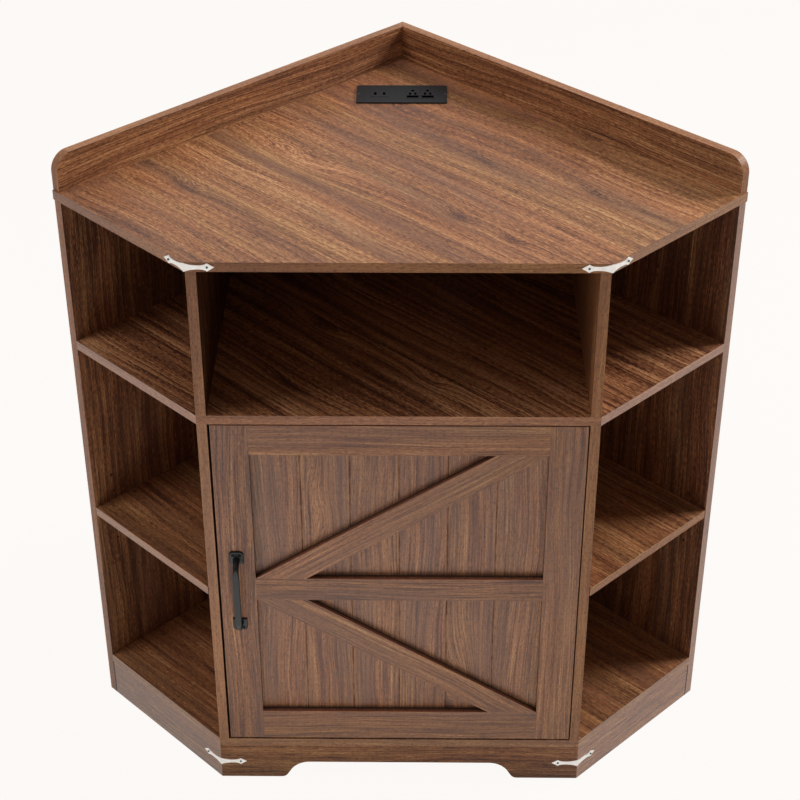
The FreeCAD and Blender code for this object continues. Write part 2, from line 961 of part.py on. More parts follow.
# The door's planks: one panel with a groove at each joint.
def door_panel():
    body = new_body((0, size.face_board, 0))
    outline = new_sketch(body, "XZ_Plane", -size.plank_board)
    draw_polygon(outline, rectangle(door_left, door_right, door_bottom, door_top))
    pad(body, outline, size.plank_board)
    pitch = (field_right - field_left) / plank_count
    first = field_left + pitch
    half = size.groove_width / 2
    groove = new_sketch(body, "XY_Plane", door_bottom)
    draw_polygon(groove, [(first - half, 0), (first + half, 0), (first, size.groove_depth)])
    feature = pocket(body, groove, door_height, reverse=True)
    pattern = body.newObject("PartDesign::LinearPattern", "Grooves")
    pattern.Originals = [feature]
    pattern.Direction = (groove, ["H_Axis"])
    bind(pattern, "Length", pitch * (plank_count - 2))
    pattern.Occurrences = plank_count - 1
    body.Tip = pattern
    tools = [door_screw_holes, handle_screw_holes, strike_screw_holes, bush_seats()]
    node("door_panel", cut(body, tools))


def face_piece(label, points, tools):
    blank = facing_board(points, size.face_board, size.face_board)
    node(label, cut(blank, tools))


def door_frame():
    left_tools = [door_screw_holes, handle_screw_holes, strike_screw_holes]
    right_tools = [door_screw_holes, bush_seats()]
    rail_tools = [door_screw_holes]
    face_piece("door_stile_left", rectangle(door_left, field_left, door_bottom, door_top), left_tools)
    face_piece("door_stile_right", rectangle(field_right, door_right, door_bottom, door_top), right_tools)
    face_piece("door_rail_top", rectangle(field_left, field_right, field_top, door_top), rail_tools)
    middle_rail = rectangle(field_left, field_right, middle_rail_bottom, middle_rail_top)
    face_piece("door_rail_middle", middle_rail, rail_tools)
    face_piece("door_rail_bottom", rectangle(field_left, field_right, door_bottom, field_bottom), rail_tools)


# A brace runs from the field's left corner at one level to its right corner at another.
def door_brace(name, left_level, right_level):
    width = field_right - field_left
    height = right_level - left_level
    brace = size.brace_width
    square = width * width + height * height - brace * brace
    across = height if height.number > 0 else -height
    run = (brace * across * square.root() - brace * brace * width) / (across * across - brace * brace)
    points = [
        (field_left, left_level),
        (field_left + run, left_level),
        (field_right, right_level),
        (field_right - run, right_level)]
    face_piece(f"door_brace_{name}", points, [door_screw_holes])


# The handle: a strap bent out between two square feet.
def door_handle():
    body = new_body((left_stile_middle, 0, handle_middle))
    half = size.handle_length / 2
    half_width = size.handle_foot_width / 2
    feet = new_sketch(body, "XZ_Plane")
    for end in both_sides:
        low = end * half
        high = end * (half - size.handle_foot_length)
        draw_polygon(feet, rectangle(-half_width, half_width, low, high))
    pad(body, feet, size.handle_foot_thickness)
    neck = half - size.handle_neck_inset
    bar = half - size.handle_bar_inset
    thickness = size.handle_bar_thickness
    reach = size.handle_reach
    inner = reach - thickness
    side_view = new_sketch(body, "YZ_Plane", -size.handle_bar_width / 2)
    upper_half = [(0, thickness - neck), (0, -neck), (-reach, -bar), (-reach, bar)]
    lower_half = [(0, neck), (0, neck - thickness), (-inner, bar - thickness), (-inner, thickness - bar)]
    draw_polygon(side_view, upper_half + lower_half)
    pad(body, side_view, size.handle_bar_width)
    round_edges(body, size.handle_outer_round, [(0, -reach, end * bar) for end in both_sides])
    inner_corners = [(0, -inner, end * (bar - thickness)) for end in both_sides]
    round_edges(body, size.handle_inner_round, inner_corners)
    node("door_handle", cut(body, [handle_screw_holes]))


# Magnetic catch under the middle board, and its strike plate on the back of the door.
def magnetic_catch():
    play = size.fixing_play
    magnet_left = catch_left + (size.catch_length - size.magnet_length) / 2
    magnet_level = middle_level - (size.catch_height + size.magnet_height) / 2
    housing = block(
        (catch_left, catch_front, middle_level - size.catch_height),
        (size.catch_length, size.catch_depth, size.catch_height))
    recess = block(
        (magnet_left - play, catch_front, magnet_level - play),
        (size.magnet_length + play * 2, size.magnet_depth + play, size.magnet_height + play * 2))
    magnet = block(
        (magnet_left, catch_front, magnet_level),
        (size.magnet_length, size.magnet_depth, size.magnet_height))
    node("catch_housing", cut(housing, [recess, catch_screw_holes]))
    node("catch_magnet", magnet)


def strike_plate():
    plate = block(
        (strike_left, door_depth, door_top - size.strike_height),
        (size.strike_length, size.strike_thickness, size.strike_height))
    node("strike_plate", group([cut(plate, [strike_screw_holes]), strike_screws]))


# One arm of a bracket, with the corner at its own origin and its waist and pointed tip along x.
def bracket_arm(place, rotation, way):
    body = new_body(place, rotation)
    corner = -size.bracket_thickness * mitre_share
    bend = size.bracket_bend_height / 2
    waist = size.bracket_waist_height / 2
    tip = size.bracket_tip_height / 2
    upper_half = [
        (way * corner, bend),
        (way * size.bracket_waist_reach, waist),
        (way * size.bracket_hole_reach, tip),
        (way * size.bracket_reach, 0)]
    lower_half = [(x, -y) for x, y in reversed(upper_half[:3])]
    sketch = new_sketch(body, "XZ_Plane")
    draw_polygon(sketch, upper_half + lower_half)
    pad(body, sketch, size.bracket_thickness)
    return body


def bracket(name, side_name, side):
    corner_x, corner_front, level = bracket_corners[name]
    place = (side * corner_x, corner_front, level)
    front_arm = bracket_arm(place, turned(0), -side)
    side_arm = bracket_arm(place, turned(45 * side), side)
    node(f"bracket_{name}_{side_name}", cut(fuse([front_arm, side_arm]), [nail_holes]))


# The power unit's face plate, with a window for each insert.
def power_bezel():
    body = new_body((0, power_y, deck_level))
    sketch = new_sketch(body, "XY_Plane")
    play = size.fixing_play * 2
    draw_polygon(sketch, centred_rectangle(0, 0, bezel_length, bezel_depth))
    for x in outlet_middles:
        draw_polygon(sketch, centred_rectangle(x, 0, size.outlet_width + play, size.outlet_depth + play))
    window = (size.usb_block_width + play, size.usb_block_depth + play)
    draw_polygon(sketch, centred_rectangle(usb_middle, 0, *window))
    pad(body, sketch, size.bezel_rise)
    corners = []
    for side in both_sides:
        for end in both_sides:
            corners.append((side * bezel_length / 2, end * bezel_depth / 2, size.bezel_rise / 2))
    round_edges(body, size.bezel_round, corners)
    node("power_bezel", cut(body, [bezel_screw_holes]))


gland_x = housing_length / 2 - size.gland_inset
gland_wall_y = power_y + housing_depth / 2 - size.housing_wall
gland_place = (gland_x, gland_wall_y, housing_bottom + size.gland_height)


def power_housing():
    body = new_body((0, power_y, housing_bottom))
    outline = new_sketch(body, "XY_Plane")
    draw_polygon(outline, centred_rectangle(0, 0, housing_length, housing_depth))
    pad(body, outline, size.housing_height)
    inside = new_sketch(body, "XY_Plane", size.housing_wall)
    walls = size.housing_wall * 2
    draw_polygon(inside, centred_rectangle(0, 0, housing_length - walls, housing_depth - walls))
    pocket(body, inside, size.housing_height, reverse=True)
    hole = rod(size.gland_diameter + size.fixing_play * 2, size.housing_wall, gland_place, backward)
    node("power_housing", cut(body, [hole]))


# The gland's sleeve passes the housing's back wall, and its collar rests on the wall's outer face.
def cable_gland():
    x, y, z = gland_place
    length = size.housing_wall + size.gland_reach
    sleeve = rod(size.gland_diameter, length, gland_place, backward)
    collar_place = (x, y + size.housing_wall, z)
    collar = rod(size.gland_collar_diameter, size.gland_collar_thickness, collar_place, backward)
    bore = rod(size.gland_bore, length, gland_place, backward)
    node("cable_gland", cut(fuse([sleeve, collar]), [bore]))


# An outlet insert: an earth hole, two blade slots and a recess in front of them.
def outlet(name, middle_x):
    body = new_body((middle_x, power_y, insert_top - size.outlet_height))
    outline = new_sketch(body, "XY_Plane")
    draw_polygon(outline, centred_rectangle(0, 0, size.outlet_width, size.outlet_depth))
    pad(body, outline, size.outlet_height)
    holes = new_sketch(body, "XY_Plane")
    draw_circle(holes, (0, size.earth_hole_offset), size.earth_hole_diameter)
    for side in both_sides:
        x = side * size.blade_slot_spacing / 2
        draw_polygon(holes, centred_rectangle(x, 0, size.blade_slot_width, size.blade_slot_length))
    pocket(body, holes, size.outlet_height, reverse=True)
    shutter = new_sketch(body, "XY_Plane", size.outlet_height - size.shutter_depth)
    draw_polygon(shutter, centred_rectangle(0, -size.shutter_offset, size.shutter_width, size.shutter_length))
    pocket(body, shutter, size.shutter_depth, reverse=True)
    node(f"outlet_{name}", body)


# Contact strips under the holes of both outlets.
def power_contacts():
    level = insert_top - size.outlet_height - size.contact_height
    width = size.contact_width
    half_spacing = size.blade_slot_spacing / 2
    pieces = []
    for middle_x in outlet_middles:
        for x, y in ((0, size.earth_hole_offset), (half_spacing, as_size(0)), (-half_spacing, as_size(0))):
            corner = (middle_x + x - width / 2, power_y + y - size.blade_slot_length / 2, level)
            pieces.append(block(corner, (width, size.blade_slot_length, size.contact_height)))
    node("power_contacts", group(pieces))


# Two charging ports side by side, each a slot with a tongue in it.
def usb_ports():
    body = new_body((usb_middle, power_y, insert_top - size.usb_block_height))
    outline = new_sketch(body, "XY_Plane")
    draw_polygon(outline, centred_rectangle(0, 0, size.usb_block_width, size.usb_block_depth))
    pad(body, outline, size.usb_block_height)
    slots = new_sketch(body, "XY_Plane", size.usb_block_height - size.usb_slot_depth)
    for side in both_sides:
        x = side * size.usb_spacing / 2
        draw_polygon(slots, centred_rectangle(x, 0, size.usb_slot_width, size.usb_slot_length))
        draw_polygon(slots, centred_rectangle(x, 0, size.usb_tongue_width, size.usb_tongue_length))
    pocket(body, slots, size.usb_slot_depth, reverse=True)
    node("usb_ports", body)


def usb_board():
    width = size.usb_block_width + size.usb_board_margin * 2
    depth = size.usb_block_depth + size.usb_board_margin * 2
    level = insert_top - size.usb_block_height - size.usb_board_thickness
    corner = (usb_middle - width / 2, power_y - depth / 2, level)
    node("usb_board", block(corner, (width, depth, size.usb_board_thickness)))


# The grommet lines the cable hole in the right wall, with its flange on the inner face.
grommet_along = wall_length - size.grommet_setback
grommet_place = (*wall_point(1, grommet_along, 0), top_level - size.grommet_drop)


def cable_hole():
    return rod(size.grommet_diameter, size.board, grommet_place, outward(1))


def cable_grommet():
    sleeve = rod(size.grommet_diameter - size.fixing_play * 2, size.board, grommet_place, outward(1))
    thickness = size.grommet_flange_thickness
    flange_place = (*wall_point(1, grommet_along, -thickness), top_level - size.grommet_drop)
    flange = rod(size.grommet_flange_diameter, thickness, flange_place, outward(1))
    bore = rod(size.grommet_bore, thickness + size.board, flange_place, outward(1))
    node("cable_grommet", cut(fuse([sleeve, flange]), [bore]))


def carcass():
    top_panel()
    backsplash("right", 1, wall_length)
    backsplash("left", -1, wall_length - size.board)
    wall_panel("right", 1, wall_length, [cable_hole()])
    wall_panel("left", -1, wall_length - size.board, [])
    carcass_board("middle_board", middle_level, "upper", [pivot_screw_holes, catch_screw_holes])
    carcass_board("bottom_board", bottom_level, "lower", [pivot_screw_holes])
    for name, side in (("left", -1), ("right", 1)):
        divider(f"divider_upper_{name}", side, ledge_level, size.upper_bay_height, [dowel_holes])
        lower_tools = [dowel_holes, pin_holes]
        divider(f"divider_lower_{name}", side, sill_level, size.lower_bay_height, lower_tools)
        side_shelf(name, side)
        plinth_side(name, side)
    inner_shelf()
    plinth_front()
    center_support()
    plinth_blocks()


def fastenings():
    node("dowels", dowels)
    node("cam_locks", cut(cams, [bolt_holes]))
    node("cam_bolts", bolts)
    node("shelf_pins", pins)
    node("backsplash_screws", backsplash_screws)
    node("door_screws", door_screws)
    node("pivot_screws", pivot_screws)
    node("handle_screws", handle_screws)
    node("catch_screws", catch_screws)
    node("power_screws", bezel_screws)
    node("bracket_nails", nails)


def door():
    door_panel()
    door_frame()
    door_brace("upper", middle_rail_top, field_top)
    door_brace("lower", middle_rail_bottom, field_bottom)
    door_handle()
    strike_plate()
    node("door_bushes", group([bush(door_top, (0, 0, -1)), bush(door_bottom, upward)]))


def door_hardware():
    pivot_plate("upper", middle_level + size.pivot_plate_thickness, (0, 0, -1),
                pin_length + size.pivot_plate_thickness)
    pivot_plate("lower", sill_level - size.pivot_plate_thickness, upward,
                lower_pin_length + size.pivot_plate_thickness)
    pivot_washer()
    magnetic_catch()


def trim():
    for name in bracket_corners:
        bracket(name, "left", -1)
        bracket(name, "right", 1)


def power_unit():
    power_bezel()
    power_housing()
    outlet("left", outlet_middles[0])
    outlet("right", outlet_middles[1])
    power_contacts()
    usb_ports()
    usb_board()
    cable_gland()
    cable_grommet()


# Every object has to be sound before any file is written.
def check_document():
    document.recompute()
    for piece in document.Objects:
        faults = [state for state in piece.State if state in ("Invalid", "Error")]
        if faults:
            raise RuntimeError(f"{piece.Label} ({piece.Name}) is {faults}")
    for label, piece in nodes.items():
        if piece.Shape.isNull() or not piece.Shape.isValid():
            raise RuntimeError(f"{label} has no sound shape")


def write_parts():
    os.makedirs("parts", exist_ok=True)
    for label, piece in nodes.items():
        piece.Shape.exportStep(f"parts/{label}.step")
        print(f"{label}: {len(piece.Shape.Solids)} solids, {piece.Shape.Volume:.0f} mm3")


carcass()
fastenings()
door()
door_hardware()
trim()
power_unit()
check_document()
write_parts()
print(f"{len(nodes)} parts written")
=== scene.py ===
import json
import math
from types import SimpleNamespace

import bmesh
import bpy
from mathutils import Matrix, Vector

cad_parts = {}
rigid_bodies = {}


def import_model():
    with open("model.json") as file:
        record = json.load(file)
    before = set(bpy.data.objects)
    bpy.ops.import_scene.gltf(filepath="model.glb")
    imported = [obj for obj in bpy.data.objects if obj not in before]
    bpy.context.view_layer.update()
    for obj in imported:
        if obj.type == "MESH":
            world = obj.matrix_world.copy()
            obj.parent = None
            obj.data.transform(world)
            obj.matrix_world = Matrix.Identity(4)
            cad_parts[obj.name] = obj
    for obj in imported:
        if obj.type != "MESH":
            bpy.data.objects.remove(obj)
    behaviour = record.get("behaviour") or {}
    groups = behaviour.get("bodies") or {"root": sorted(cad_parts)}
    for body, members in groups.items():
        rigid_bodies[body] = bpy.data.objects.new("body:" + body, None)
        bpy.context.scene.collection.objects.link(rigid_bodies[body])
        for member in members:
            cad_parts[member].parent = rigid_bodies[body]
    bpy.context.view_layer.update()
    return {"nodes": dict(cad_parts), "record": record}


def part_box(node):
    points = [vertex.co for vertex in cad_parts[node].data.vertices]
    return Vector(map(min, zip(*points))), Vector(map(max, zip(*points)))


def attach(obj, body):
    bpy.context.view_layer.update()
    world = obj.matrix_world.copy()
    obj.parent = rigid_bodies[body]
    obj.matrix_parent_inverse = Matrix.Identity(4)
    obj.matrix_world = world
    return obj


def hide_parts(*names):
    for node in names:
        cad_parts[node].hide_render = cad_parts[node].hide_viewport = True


# Corner cabinet in walnut laminate: finishes, small hardware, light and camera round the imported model.
# Lengths are in metres. Textures are laid out in the model's own coordinates, at their true size.

for leftover in list(bpy.data.objects):
    bpy.data.objects.remove(leftover)
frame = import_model()
nodes = frame["nodes"]
slant = math.sqrt(0.5)                # the wings stand at 45 degrees to the front
print("model loaded:", len(nodes), "nodes")


def addObject(name, data):
    added = bpy.data.objects.new(name, data)
    bpy.context.scene.collection.objects.link(added)
    return added


# Camera

cameraView = {
    "place": (0.026919, -2.556149, 2.204822),
    "turn": -0.636767,                # degrees
    "tilt": -33.407703,
    "roll": 0.103046,
    "lens": 82.98,                    # millimetres, as is the sensor
    "sensor": 36.0,
    "near": 0.1,
    "far": 60,
}


def makeCamera(view):
    turn, tilt, roll = (math.radians(view[name]) for name in ("turn", "tilt", "roll"))
    ahead = Vector((math.sin(turn) * math.cos(tilt), math.cos(turn) * math.cos(tilt), math.sin(tilt)))
    side = Vector((math.cos(turn), -math.sin(turn), 0))
    up = side.cross(ahead)
    axisX = side * math.cos(roll) - up * math.sin(roll)
    axisY = side * math.sin(roll) + up * math.cos(roll)
    data = bpy.data.cameras.new("camera")
    data.lens = view["lens"]
    data.sensor_width = view["sensor"]
    data.clip_start = view["near"]
    data.clip_end = view["far"]
    camera = addObject("camera", data)
    columns = Matrix((axisX, axisY, -ahead)).transposed().to_4x4()
    camera.matrix_world = Matrix.Translation(view["place"]) @ columns
    bpy.context.scene.camera = camera


makeCamera(cameraView)
print("camera set")

# Shader maths


def feed(socket, value):
    if isinstance(value, Wire):
        socket.id_data.links.new(value.socket, socket)
    else:
        socket.default_value = value


# A socket that can stand in a sum, so that shader maths reads as one.
class Wire:
    def __init__(self, socket):
        self.socket = socket

    def maths(self, operation, *values):
        node = self.socket.id_data.nodes.new("ShaderNodeMath")
        node.operation = operation
        for socket, value in zip(node.inputs, values):
            feed(socket, value)
        return Wire(node.outputs[0])

    def __add__(self, other):
        return self.maths("ADD", self, other)

    def __radd__(self, other):
        return self.maths("ADD", other, self)

    def __sub__(self, other):
        return self.maths("SUBTRACT", self, other)

    def __rsub__(self, other):
        return self.maths("SUBTRACT", other, self)

    def __mul__(self, other):
        return self.maths("MULTIPLY", self, other)

    def __rmul__(self, other):
        return self.maths("MULTIPLY", other, self)

    def __truediv__(self, other):
        return self.maths("DIVIDE", self, other)

    def __pow__(self, other):
        return self.maths("POWER", self, other)

    def size(self):
        return self.maths("ABSOLUTE", self)

    def floor(self):
        return self.maths("FLOOR", self)

    def exponent(self):
        return self.maths("EXPONENT", self)

    def above(self, limit):
        return self.maths("GREATER_THAN", self, limit)

    def below(self, limit):
        return self.maths("LESS_THAN", self, limit)

    def most(self, other):
        return self.maths("MAXIMUM", self, other)


def setStops(ramp, stops):
    while len(ramp.elements) < len(stops):
        ramp.elements.new(1.0)
    for element, (place, color) in zip(ramp.elements, stops):
        element.position = place
        element.color = (*color, 1.0)


class Graph:
    def __init__(self, tree):
        self.tree = tree

    # A node of a type, with its settings made first, then its sockets' values or links.
    def node(self, kind, settings=None, inputs=None, output=0):
        made = self.tree.nodes.new("ShaderNode" + kind)
        for name, value in (settings or {}).items():
            if name == "stops":
                setStops(made.color_ramp, value)
            else:
                setattr(made, name, value)
        for name, value in (inputs or {}).items():
            feed(made.inputs[name], value)
        return Wire(made.outputs[output])

    # 1 for what the camera sees, itself or in a glossy or clear surface, and 0 for what lights the part
    def seen(self):
        camera, glossy, clear = (self.node("LightPath", output=f"Is {kind} Ray")
                                 for kind in ("Camera", "Glossy", "Transmission"))
        return camera.most(glossy).most(clear)


# One material's nodes. Its shader is a Principled BSDF.
class Finish(Graph):
    def __init__(self, name):
        self.material = bpy.data.materials.new(name)
        self.material.use_nodes = True
        super().__init__(self.material.node_tree)
        self.shader = self.tree.nodes["Principled BSDF"]

    def place(self):
        return self.node("TexCoord", output="Object")

    def facing(self):
        return self.node("TexCoord", output="Normal")

    def along(self, vector, direction):
        return self.node("VectorMath", {"operation": "DOT_PRODUCT"}, {0: vector, 1: direction}, "Value")

    def cross(self, first, second):
        return self.node("VectorMath", {"operation": "CROSS_PRODUCT"}, {0: first, 1: second})

    def noise(self, vector, scale, detail):
        return self.node("TexNoise", None, {"Vector": vector, "Scale": scale, "Detail": detail})

    # noise in the plane of a surface, from the two distances along it
    def flatNoise(self, u, v, detail=1.0):
        spot = self.node("CombineXYZ", None, {"X": u, "Y": v})
        inputs = {"Vector": spot, "Scale": 1.0, "Detail": detail}
        return self.node("TexNoise", {"noise_dimensions": "2D"}, inputs)

    def step(self, value, low, high):
        inputs = {"Value": value, "From Min": low, "From Max": high}
        return self.node("MapRange", {"interpolation_type": "SMOOTHSTEP"}, inputs)

    def mix(self, share, first, second, blend="MIX"):
        settings = {"data_type": "RGBA", "blend_type": blend}
        first, second = (color if isinstance(color, Wire) else (*color, 1.0) for color in (first, second))
        return self.node("Mix", settings, {0: share, 6: first, 7: second}, 2)

    def choose(self, share, first, second):
        return self.node("Mix", {"data_type": "FLOAT"}, {0: share, 2: first, 3: second}, 0)

    def ramp(self, value, stops):
        return self.node("ValToRGB", {"stops": stops}, {"Fac": value}, "Color")

    def bump(self, height, distance, strength):
        return self.node("Bump", None, {"Height": height, "Distance": distance, "Strength": strength})

    def set(self, **values):
        for name, value in values.items():
            feed(self.shader.inputs[name.replace("_", " ")], value)
        return self.material


def rgb(red, green, blue):
    # the linear colour of a colour given from 0 to 255
    shares = (red / 255, green / 255, blue / 255)
    return tuple(c / 12.92 if c <= 0.04045 else ((c + 0.055) / 1.055) ** 2.4 for c in shares)


# Walnut laminate

walnut = {
    "tones": [                        # from the darkest streaks to the palest
        (0.00, rgb(64, 34, 21)),
        (0.22, rgb(106, 63, 40)),
        (0.42, rgb(146, 95, 62)),
        (0.60, rgb(168, 113, 73)),
        (0.80, rgb(190, 136, 91)),
        (1.00, rgb(210, 162, 118)),
    ],
    "cool": rgb(133, 105, 94),        # greyer patches
    "reddish": (1.0, 0.93, 0.90),     # shares that colour the broad patches
    "golden": (0.99, 1.05, 0.96),
    "pore": rgb(58, 36, 27),
    "tick": rgb(82, 46, 30),
    "worn": rgb(196, 152, 118),
    "rawEdge": rgb(124, 70, 43),      # the dark red-brown edges inside the door's frame
    # painted shade, nearly black, in the angle by the planks and on the stiles' inner edges
    "angleShade": rgb(26, 12, 7),
    # painted shade, in the grooves between the planks and on the board faces painted darker as shade
    "groove": rgb(38, 22, 15),
    # painted shadow in the gap at the far end of each plinth side
    "shadowGap": rgb(20, 12, 9),
}

# What a board has unless it says otherwise.
plainBoard = {
    "strength": 1.0,                  # contrast of the broad figure
    "stretch": 1.0,                   # length of the streaks
    "streaks": 0.76,                  # contrast of the streaks
    "grit": 0.70,                     # contrast of the fibres
    "lines": 0.17,                    # darkness of the fine lines
    "ticks": 0.38,                    # strength of the ticks
    "toneAndPaintedLight": 0.0,                   # moves all the tones; it paints a board darker where it stands in shade and paler where it is well lit
    "hues": 0.5,                      # how far the patches differ, from reddish to golden
    "golden": 0.25,                   # moves them all towards golden
    "cool": 0.35,                     # strength of the greyer patches
    "sheen": 0.50,
    "eyes": (),
}

# Slow bends of the grain: how many to a metre along and across it, and how far they reach.
grainBends = {"wander": (2.3, 6.0, 0.030), "ripple": (10.0, 32.0, 0.0035)}

# Streaks of each width: their width and length, and how finely they break up.
streakKinds = {
    "broad": (0.050, 1.10, 1.0), "band": (0.016, 0.50, 2.0), "streak": (0.0050, 0.120, 2.0),
    "fine": (0.0019, 0.038, 2.0), "fibre": (0.0010, 0.009, 1.0), "pore": (0.00055, 0.0065, 0.0),
    "tick": (0.0011, 0.016, 3.0),
}

# A pair whose name ends in Side or Bands says where a mask begins and where it is full.
figure = {
    "edgeBelow": 0.6,                 # a surface that turns this far from the board's face is an edge
    "edgeShift": (1.7, 0.9),          # these keep edges, planks and streaks from repeating each other
    "plankShift": (0.413, 0.157),
    "streakShift": (3.7, 9.1),
    "eyeMiddle": 3.0,                 # a higher power makes an eye's dark middle smaller
    # growth rings and fine lines: how far apart, and how much the streaks push them aside
    "ringPitch": 0.0135, "ringSway": (2.4, 0.5, 0.25), "ringSide": (0.45, 0.98), "ringBands": (0.35, 0.62),
    "linePitch": 0.0046, "lineSway": (1.1, 0.5), "lineSide": (0.28, 0.46), "lineBands": (0.30, 0.60),
    # the weight of each kind of streak in the tone, and how far the edges keep to one tone
    "toneMiddle": 0.58, "toneBroad": 0.38, "toneBand": 0.56, "toneFine": 0.88, "toneRing": 0.20,
    "edgeTone": 0.60, "edgeEven": 0.6,
    # patches: how many to a metre along the grain, a shift, and how many across it
    "goldenPatch": (1.3, 7.0, 16.0), "goldenSide": (0.36, 0.64),
    "coolPatch": (1.7, 4.0, 21.0), "coolSide": (0.42, 0.75), "coolMost": 0.55, "coolLeast": 0.10,
    "coolVeil": 0.55,
    # how closely ticks and pores gather in the other marks
    "tickBand": 0.30, "tickStreak": 0.25, "tickSide": (0.52, 0.64),
    "poreRing": 0.05, "poreStreak": 0.12, "poreSide": (0.63, 0.72), "poreShare": 0.55,
}


# Distances along and across the grain, on the broad faces and on the banded edges.
def layGrain(finish, board):
    place, facing = finish.place(), finish.facing()
    face, lie = board["face"], board["along"]
    across = tuple(Vector(face).cross(Vector(lie)))
    broad = finish.along(facing, face).size()
    isEdge = broad.below(figure["edgeBelow"])
    edgeU = finish.along(place, finish.cross(face, facing))
    edgeV = finish.along(place, face)
    edgeShiftU, edgeShiftV = figure["edgeShift"]
    shiftU, shiftV = board["shift"]
    u = finish.choose(isEdge, finish.along(place, lie), edgeU + edgeShiftU) + shiftU
    v = finish.choose(isEdge, finish.along(place, across), edgeV + edgeShiftV) + shiftV
    if "planks" in board:
        left, pitch = board["planks"]
        count = ((finish.along(place, (1, 0, 0)) - left) / pitch).floor()
        plankShiftU, plankShiftV = figure["plankShift"]
        u = u + count * plankShiftU
        v = v + count * plankShiftV
    return SimpleNamespace(place=place, facing=facing, broad=broad, isEdge=isEdge, edgeU=edgeU, u=u, v=v)


# Bends v round each eye of the figure, so that the streaks close in rings round it.
def bend(finish, u, v, eyes):
    bent = v
    for along, across, height in grainBends.values():
        bent = bent + (finish.flatNoise(u * along, v * across) - 0.5) * height
    shade = None
    for eyeU, eyeV, length, width, lift, dark in eyes:
        distance = ((u - eyeU) / length) ** 2 + ((v - eyeV) / width) ** 2
        hill = (distance * -1.0).exponent()
        bent = bent + hill * lift
        if dark:
            spot = hill ** figure["eyeMiddle"] * dark
            shade = spot if shade is None else shade + spot
    return bent, shade


# Streaks of each kind, as values round 0.5.
def drawStreaks(finish, u, v, stretch):
    drawn = {}
    shiftU, shiftV = figure["streakShift"]
    for count, (kind, (width, length, detail)) in enumerate(streakKinds.items(), start=1):
        if kind in ("streak", "fine"):
            length *= stretch
        drawn[kind] = finish.flatNoise(u / length + count * shiftU, v / width + count * shiftV, detail)
    return SimpleNamespace(**drawn)


# The share of the way up the ramp of tones, and the mask of the growth rings.
def walnutTone(finish, board, grain, bent, shade, marks):
    bandSway, streakSway, fibreSway = figure["ringSway"]
    rings = bent / figure["ringPitch"] + marks.band * bandSway
    rings = rings + marks.streak * streakSway + marks.fibre * fibreSway
    ringSide = finish.step(rings - rings.floor(), *figure["ringSide"])
    ringLine = ringSide * finish.step(marks.broad, *figure["ringBands"])
    streakSway, fibreSway = figure["lineSway"]
    lines = bent / figure["linePitch"] + marks.streak * streakSway + marks.fibre * fibreSway
    lineSide = finish.step((lines - lines.floor() - 0.5).size(), *figure["lineSide"])
    line = lineSide * finish.step(marks.band, *figure["lineBands"])
    strength = board["strength"]
    tone = figure["toneMiddle"] + (marks.broad - 0.5) * (figure["toneBroad"] * strength)
    tone = tone + (marks.band - 0.5) * (figure["toneBand"] * strength)
    tone = tone + (marks.streak - 0.5) * board["streaks"] + (marks.fine - 0.5) * figure["toneFine"]
    tone = tone + (marks.fibre - 0.5) * board["grit"]
    tone = tone - ringLine * (figure["toneRing"] * strength) - line * board["lines"]
    if shade is not None:
        tone = tone - shade
    # each board's tone shift also paints its light and shade; the edges keep mostly to one tone
    tone = finish.choose(grain.isEdge * figure["edgeEven"], tone + board["toneAndPaintedLight"], figure["edgeTone"])
    return tone, ringLine


def patches(finish, u, v, kind):
    along, shift, across = figure[kind + "Patch"]
    return finish.step(finish.flatNoise(u * along + shift, v * across), *figure[kind + "Side"])


# Broad patches that are more reddish or golden, and greyer ones.
def addPatches(finish, board, color, u, bent):
    goldenShare = patches(finish, u, bent, "golden") * board["hues"] + board["golden"]
    tint = finish.mix(goldenShare, walnut["reddish"], walnut["golden"])
    color = finish.mix(1.0, color, tint, "MULTIPLY")
    coolShare = patches(finish, u, bent, "cool") * figure["coolMost"] + figure["coolLeast"]
    coolShare = coolShare * board["cool"]
    color = finish.mix(coolShare, color, walnut["cool"], "MULTIPLY")
    return finish.mix(coolShare * figure["coolVeil"], color, walnut["cool"])


# Ticks are dark, with frayed ends, and thickest in the dark streaks. Pores are short dark dashes,
# closest together in the growth rings.
def addMarks(finish, board, color, marks, ringLine):
    tick = marks.tick - (marks.band - 0.5) * figure["tickBand"]
    tick = tick - (marks.streak - 0.5) * figure["tickStreak"]
    ticks = finish.step(tick, *figure["tickSide"])
    color = finish.mix(ticks * board["ticks"], color, walnut["tick"])
    pore = marks.pore + ringLine * figure["poreRing"] + (marks.streak - 0.5) * figure["poreStreak"]
    pores = finish.step(pore, *figure["poreSide"])
    return finish.mix(pores * figure["poreShare"], color, walnut["pore"]), pores


wear = {                              # "begins" and "ends" say where the surface turns from edge to face
    "begins": (0.10, 0.35), "ends": (0.93, 0.995), "patches": 45.0, "detail": 3.0, "side": (0.40, 0.62),
    "share": 0.45,
}


# The arrises, where the surface turns between face and edge, are rubbed in patches.
def addWear(finish, color, grain):
    rubbed = finish.step(grain.broad, *wear["begins"]) * (1.0 - finish.step(grain.broad, *wear["ends"]))
    patchy = finish.step(finish.noise(grain.place, wear["patches"], wear["detail"]), *wear["side"])
    worn = rubbed * patchy * wear["share"]
    return finish.mix(worn, color, walnut["worn"]), worn


grooveShadeLook = {
    "along": 60.0, "across": 900.0, "detail": 2.0, "ragged": 0.0006, "depth": (0.0004, 0.0013),
    "share": 0.3,
}


